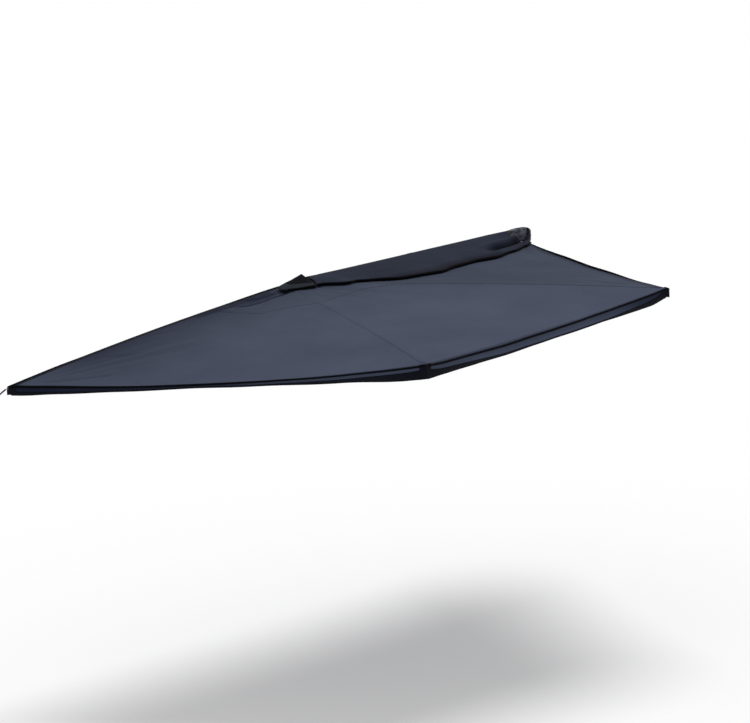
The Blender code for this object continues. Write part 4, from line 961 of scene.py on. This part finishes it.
def flap_point(across, along):
    """The flap: over the rail's corner, down in soft waves and out to its rolled zip edge."""
    rear = station_value(COVER_REAR_EDGE, across)
    front = COVER_END + COVER_FRONT_SKEW * max(0, 2 * across - 1)
    front -= COVER_FRONT_HOLLOW * sin(pi * min(across / 0.8, 1))
    x = rear + (front - rear) * along
    calm = ease(along * 6) * ease((1 - along) * 5)
    reach = station_value(COVER_REACHES, along)
    reach += FLAP_WAVES[0] * sin(along * FLAP_WAVES[1]) * calm
    base = RAIL_TOP + FLAP_GAP
    edge = canopy_level(x, RAIL_FRONT - reach) + ROLL_RADIUS + ROLL_GAP
    y = RAIL_FRONT + KEDER_SETBACK - across * (reach + KEDER_SETBACK)
    corner = KEDER_SETBACK / (reach + KEDER_SETBACK)
    fall = max(0, (across - corner) / (1 - corner))
    bulge = max(0, sin(pi * across ** 0.6)) ** 0.8
    rise = COVER_CROWN * min(1, reach / 0.2) * bulge
    body = max(0, sin(pi * across))
    line = station_value(FOLD_LINE, along)
    folds = 0
    for offset, width, height in FLAP_FOLDS:
        folds += height * exp(-(((across - line - offset) / width) ** 2))
    folds *= ease((along - 0.70) / 0.16) * min(body * 3, 1)
    ripple = FLAP_RIPPLE * noise.noise(Vector((x * 4, y * 12, 3))) * body
    return PIN + Vector((x, y, base + (edge - base) * fall + rise + folds + ripple))


def flap_shade(across, along):
    """Painted shade on the flap: in its fold at the front, and along its hem further back."""
    spread = 0.085 + 0.05 * ease((along - 0.93) / 0.07)
    away = (across - station_value(FOLD_LINE, along)) / spread
    in_front = ease((along - 0.74) / 0.08)
    hem = ease((along - 0.13) / 0.05) * (1 - in_front) * ease((across - 0.76) / 0.22)
    return max(0.97 * in_front * exp(-away ** 4), 0.80 * hem)


def roll_point(across, along):
    """The flap's rolled zip edge."""
    angle = tau * across
    waves = 0.92 + 0.08 * sin(along * 40)
    plump = ROLL_RADIUS * station_value(ROLL_SIZES, along) * waves
    return flap_point(1, along) + Vector((0, plump * cos(angle) - 0.004, plump * sin(angle)))


def make_flap():
    """The flap and its rolled zip edge."""
    length = COVER_END - COVER_REAR_EDGE[0][1]
    size = (FLAP_UV, length)
    flap = sew(
        "cover_flap_cloth", (44, 160), flap_point, size, COVER_CLOTH, COVER_THICK
    )
    paint_shade_by_uv(flap, size, flap_shade)
    edge = sew(
        "flap_zip_roll", (14, 160), roll_point, (0.05, length), PIPING_CLOTH
    )
    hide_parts("cover_flap")
    for thing in (flap, edge):
        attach(thing, "cover")


# Hub cover, from the kingpin. Its feet go round by the rail's back, the rear and the canopy.
HUB_PEAK = Vector((0.055, 0.0, 0.0645))
HUB_FEET = (
    (0.105, 0.062, 0.0279), (0.008, 0.071, 0.0150), (-0.108, 0.044, 0.0045),
    (-0.160, -0.030, -0.001), (-0.005, -0.165, 0.016), (0.058, -0.082, 0.022),
    (0.100, -0.010, 0.0279),
)
HUB_DIP = 0.003
SOFT_SIDES = (2, 3, 4)
HUB_UV = 0.8
CUFF_THICK = 0.0010


def hub_cover_point(turn, drop):
    """The peaked cover: ridges run from the peak to its feet and the cloth dips between them."""
    count = len(HUB_FEET)
    place = turn * count
    index = int(place) % count
    share = place - int(place)
    foot = Vector(HUB_FEET[index]).lerp(Vector(HUB_FEET[(index + 1) % count]), share)
    dip = sin(pi * share) * sin(pi * min(drop, 1))
    spot = HUB_PEAK.lerp(foot, drop)
    spot.z -= HUB_DIP * dip * (1 if index in SOFT_SIDES else 0.2)
    return PIN + spot


KNOT_CENTRE = Vector((-0.150, -0.040, 0.002))
KNOT_RUN = Vector((-0.62, 0.78, 0.0))
KNOT_HALF = 0.026
KNOT_TURNS = 3


def knot_point(across, along):
    """The knotted tail of the drawcord channel: three turns of cloth with a tail at each end."""
    side = Vector((KNOT_RUN.y, -KNOT_RUN.x, 0))
    turns = 0.5 + 0.5 * abs(cos(along * pi * KNOT_TURNS))
    swell = sin(pi * along) ** 0.5
    radius = 0.0015 + 0.0135 * swell * (0.62 + 0.38 * turns)
    angle = tau * across
    reach = KNOT_HALF * (2 * along - 1)
    spot = KNOT_CENTRE + KNOT_RUN * reach + side * (radius * cos(angle))
    return PIN + spot + UP * (radius * 0.75 * sin(angle))


def close_seam(thing):
    """Welds the two ends of a sheet that was rolled into a ring, and turns its faces outward."""
    shell = bmesh.new()
    shell.from_mesh(thing.data)
    bmesh.ops.remove_doubles(shell, verts=shell.verts, dist=0.00005)
    bmesh.ops.recalc_face_normals(shell, faces=shell.faces)
    shell.to_mesh(thing.data)
    shell.free()


def hub_outward(turn):
    """Level direction out of the hub cover at a turn round it."""
    away = hub_cover_point(turn, 1) - PIN - HUB_PEAK
    return Vector((away.x, away.y, 0)).normalized()


def to_canopy(turn):
    """1 on the canopy's side of the hub cover, 0 on the rail's."""
    return ease((0.25 - hub_outward(turn).y) / 0.8)


def cuff_point(across, along):
    """The turned-up cuff, close on the cover and narrower past its fourth foot."""
    lift = (hub_outward(across) * 0.0008 + UP * 0.0004) * (0.3 + 0.7 * to_canopy(across))
    slim = ease(across * len(HUB_FEET) - 3.3)
    drop = 0.64 + 0.12 * slim + (0.33 - 0.19 * slim) * along
    return hub_cover_point(across, drop) + lift


def hub_hem_point(across, along):
    """The rolled hem, plump on the canopy's side."""
    radius = 0.0016 + (0.0030 + 0.0008 * sin(across * 60)) * to_canopy(across)
    outward = hub_outward(across)
    centre = hub_cover_point(across, 1) + outward * 0.001 + UP * (radius + 0.0006)
    return round_section(centre, outward, radius, along)


def make_hub_cover():
    """Peaked cover with a turned-up cuff of lighter cloth, a rolled hem and a knotted tail."""
    cover = sew(
        "hub_cover_cloth", (70, 24), hub_cover_point, (HUB_UV, 0.17),
        HUB_CLOTH, COVER_THICK, -1,
    )
    turned_up = sew(
        "hub_cover_cuff", (140, 6), cuff_point, (HUB_UV, 0.05),
        CUFF_CLOTH, CUFF_THICK,
    )
    hem = sew(
        "hub_cover_hem", (140, 12), hub_hem_point, (HUB_UV, 0.03), WEBBING
    )
    knot = sew("hub_cover_knot", (28, 20), knot_point, (0.09, 0.05), HEM_CLOTH)
    for thing in (cover, turned_up, hem, knot):
        close_seam(thing)
        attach(thing, "rail")
    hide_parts("hub_cover")


# Hood of the cover at the rail's front end.
SKIRT_START = 2.045
SKIRT_UV = (0.14, 0.15)
SKIRT_BACK_DROP = 0.018
HOOD_START = RAIL_END + 0.0062
HOOD_END = 2.2125
HOOD_MIDDLE = (0.0262, (RAIL_TOP + RAIL_BOTTOM) / 2 + 0.0005)
HOOD_HALF = (0.0345, 0.0495)
HOOD_TURN = 0.7
HOOD_TURN_SIZE = 0.86
HOOD_PLEATS = 9
HOOD_PLEAT_DEPTH = 0.05
HOOD_MOUTH_DEPTH = 0.006


def round_path(corners, radius, share):
    """A point along a bent path with rounded corners."""
    lengths = [(b - a).length for a, b in zip(corners, corners[1:])]
    place = share * sum(lengths)
    for index, length in enumerate(lengths):
        if place <= length or index == len(lengths) - 1:
            break
        place -= length
    a, b = corners[index], corners[index + 1]
    point = a.lerp(b, place / length)
    for end, before, after in ((0, index - 1, b), (1, index + 2, a)):
        corner = (a, b)[end]
        near = (point - corner).length
        if near < radius and 0 <= before < len(corners):
            other = corners[before]
            bisector = (after - corner).normalized() + (other - corner).normalized()
            point = point + bisector * ((radius - near) ** 2 / (4 * radius))
    return point


def skirt_point(across, along):
    """Over the rail's end: up its front, across its top and a little way down its back."""
    flare = ease((along - 0.62) / 0.38)
    front, back = RAIL_FRONT - 0.0022 - 0.004 * flare, RAIL_FRONT + RAIL_DEPTH + 0.0035
    top = RAIL_TOP + 0.0014
    hem = RAIL_TOP - 0.064 - 0.016 * ease((along - 0.4) / 0.3)
    corners = [
        Vector((0, front, hem)), Vector((0, front, top)),
        Vector((0, back, top)), Vector((0, back, RAIL_TOP - SKIRT_BACK_DROP)),
    ]
    spot = round_path(corners, 0.010, across)
    middle = Vector((0, (front + back) / 2, RAIL_TOP - 0.03))
    outward = (spot - middle).normalized()
    pleat = 0.0012 * (0.5 + 0.5 * cos(across * 46 + along * 2)) * ease(along * 1.4)
    tie = exp(-(((along - 0.72) / 0.05) ** 2))
    puff = 0.0030 * ease((along - 0.08) / 0.2) * (1 - flare)
    spot += outward * max((pleat + puff) * (1 - skirt_dimples_and_shade(across, along)) - 0.0012 * tie, 0)
    x = SKIRT_START + (HOOD_END - 0.010 - SKIRT_START) * along
    under_flap = 0.045 * (1 - ease((across - 0.44) / 0.06))
    x -= (0.006 * sin(across * 9) + under_flap) * (1 - along)
    return PIN + Vector((x, spot.y, spot.z))


def hood_point(turn, along):
    """Closed end of the hood: the rail's outline, puffed, gathered and drawn to a mouth."""
    angle = tau * turn
    c, s = cos(angle), sin(angle)
    radius = (abs(c) ** 4 + abs(s) ** 4) ** -0.25
    if along < HOOD_TURN:
        x = HOOD_START + (HOOD_END - HOOD_START) * (along / HOOD_TURN)
        size = 1 - (1 - HOOD_TURN_SIZE) * ease(along / HOOD_TURN) ** 2
    else:
        shut = (along - HOOD_TURN) / (1 - HOOD_TURN)
        x = HOOD_END - HOOD_MOUTH_DEPTH * sin(pi * shut / 2)
        size = HOOD_TURN_SIZE * (1 - shut)
    pleat = (0.5 + 0.5 * cos(angle * HOOD_PLEATS)) * ease((along - 0.25) / 0.5)
    size *= 1 - HOOD_PLEAT_DEPTH * pleat
    y = HOOD_MIDDLE[0] + HOOD_HALF[0] * radius * c * size
    return PIN + Vector((x, y, HOOD_MIDDLE[1] + HOOD_HALF[1] * radius * s * size))


# Dimples pulled into the gathered cover, also painted dark as shade: place across and along, size and depth.
SKIRT_DIMPLES = (
    (0.47, 0.19, 0.045, 1.0), (0.405, 0.48, 0.040, 0.9), (0.124, 0.93, 0.060, 1.0),
    (0.10, 0.10, 0.060, 0.6), (0.22, 0.66, 0.050, 0.7), (0.52, 0.80, 0.040, 0.5),
    (0.62, 0.35, 0.040, 0.5),
)


def skirt_dimples_and_shade(across, along):
    """How deep a point of the gathered cover lies in its dimples or its dark foot, from 0 to 1; it is also painted
    on as shade.
    """
    deepest = 0
    for middle, place, size, depth in SKIRT_DIMPLES:
        away = ((across - middle) / size) ** 2 + ((along - place) / (size * 1.8)) ** 2
        deepest = max(deepest, depth * exp(-away))
    # Along the skirt's foot lies a band of painted shadow.
    shade = 0.08 + 0.07 * ease((along - 0.55) / 0.3)
    return max(deepest, 1 - ease((across - 0.02) / shade))


def make_hood():
    """The hood's closed end and the skirt that covers the rail's end, with shade painted into the skirt."""
    hood = sew(
        "cover_end_cloth", (120, 24), hood_point, (0.30, 0.06),
        HOOD_CLOTH, COVER_THICK, -1,
    )
    close_seam(hood)
    skirt = sew(
        "cover_skirt_cloth", (80, 40), skirt_point, SKIRT_UV,
        HOOD_CLOTH, COVER_THICK,
    )
    paint_shade_by_uv(skirt, SKIRT_UV, skirt_dimples_and_shade)
    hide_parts("cover_end_sock")
    for thing in (hood, skirt):
        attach(thing, "rail")


# Guy rope, which starts and ends a little inside its place in the CAD.
ROPE_SETBACK = 0.001
ROPE_STEPS = 24
ROPE_RADIUS = 0.0042


def make_guy_rope():
    """Braided rope from the rear corner's ring to its hook, outside the view."""
    low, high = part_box("guy_rope")
    start = Vector((high.x, low.y, high.z))
    end = Vector((low.x, high.y, low.z))
    direction = (end - start).normalized()
    start += direction * ROPE_SETBACK
    end -= direction * ROPE_SETBACK
    points = [start.lerp(end, index / ROPE_STEPS) for index in range(ROPE_STEPS + 1)]
    curve = bpy.data.curves.new("guy_rope_braid", "CURVE")
    curve.dimensions = "3D"
    curve.bevel_depth = ROPE_RADIUS
    curve.bevel_resolution = 3
    curve.use_fill_caps = True
    spline = curve.splines.new("POLY")
    spline.points.add(ROPE_STEPS)
    for point, place in zip(spline.points, points):
        point.co = (*place, 1)
    curve.materials.append(ROPE_BRAID)
    rope = add_object("guy_rope_braid", curve)
    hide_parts("guy_rope")
    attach(rope, "arm_4")


# Floor, backdrop and light.
FLOOR_HALF = 150
FLOOR_DROP = 2.0
FLOOR_GLOW = 0.16
SKY_LIGHT = 0.45
SUN_LIGHT = 1.55
SUN_SPREAD = radians(30)
SUN_PLACE = Vector((0.35, 0.15, 1.0))


def make_stage():
    """A pale floor that runs out to a white sky, and one broad sun."""
    shell = bmesh.new()
    bmesh.ops.create_grid(shell, x_segments=1, y_segments=1, size=FLOOR_HALF)
    bmesh.ops.translate(shell, verts=shell.verts, vec=(0, 0, PIN.z - FLOOR_DROP))
    floor = piece_from(shell, "floor")
    pale, shader = new_material("pale_floor", 0.9)
    shader.inputs["Base Color"].default_value = (0.93, 0.93, 0.93, 1)
    shader.inputs["Specular IOR Level"].default_value = 0.1
    shader.inputs["Emission Color"].default_value = (1, 1, 1, 1)
    path = node(pale, "ShaderNodeLightPath")
    glow = maths(pale, "MULTIPLY", path.outputs["Is Camera Ray"], FLOOR_GLOW)
    link(pale, glow, shader.inputs["Emission Strength"])
    floor.data.materials.append(pale)
    world = bpy.data.worlds.new("studio")
    scene.world = world
    world.use_nodes = True
    background = world.node_tree.nodes["Background"]
    background.inputs["Color"].default_value = (1, 1, 1, 1)
    background.inputs["Strength"].default_value = SKY_LIGHT
    sun = bpy.data.lights.new("key", "SUN")
    sun.energy = SUN_LIGHT
    sun.angle = SUN_SPREAD
    add_object("key", sun).rotation_euler = SUN_PLACE.to_track_quat("Z", "Y").to_euler()
    scene.view_settings.view_transform = "Standard"


make_guy_rope()
make_stage()
finish_hard_pieces()
panels = make_canopy()
make_valances()
make_flap()
make_hub_cover()
make_hood()
make_corner_pockets()
make_arm_seams()
make_edge_binding()
make_hub_patches()
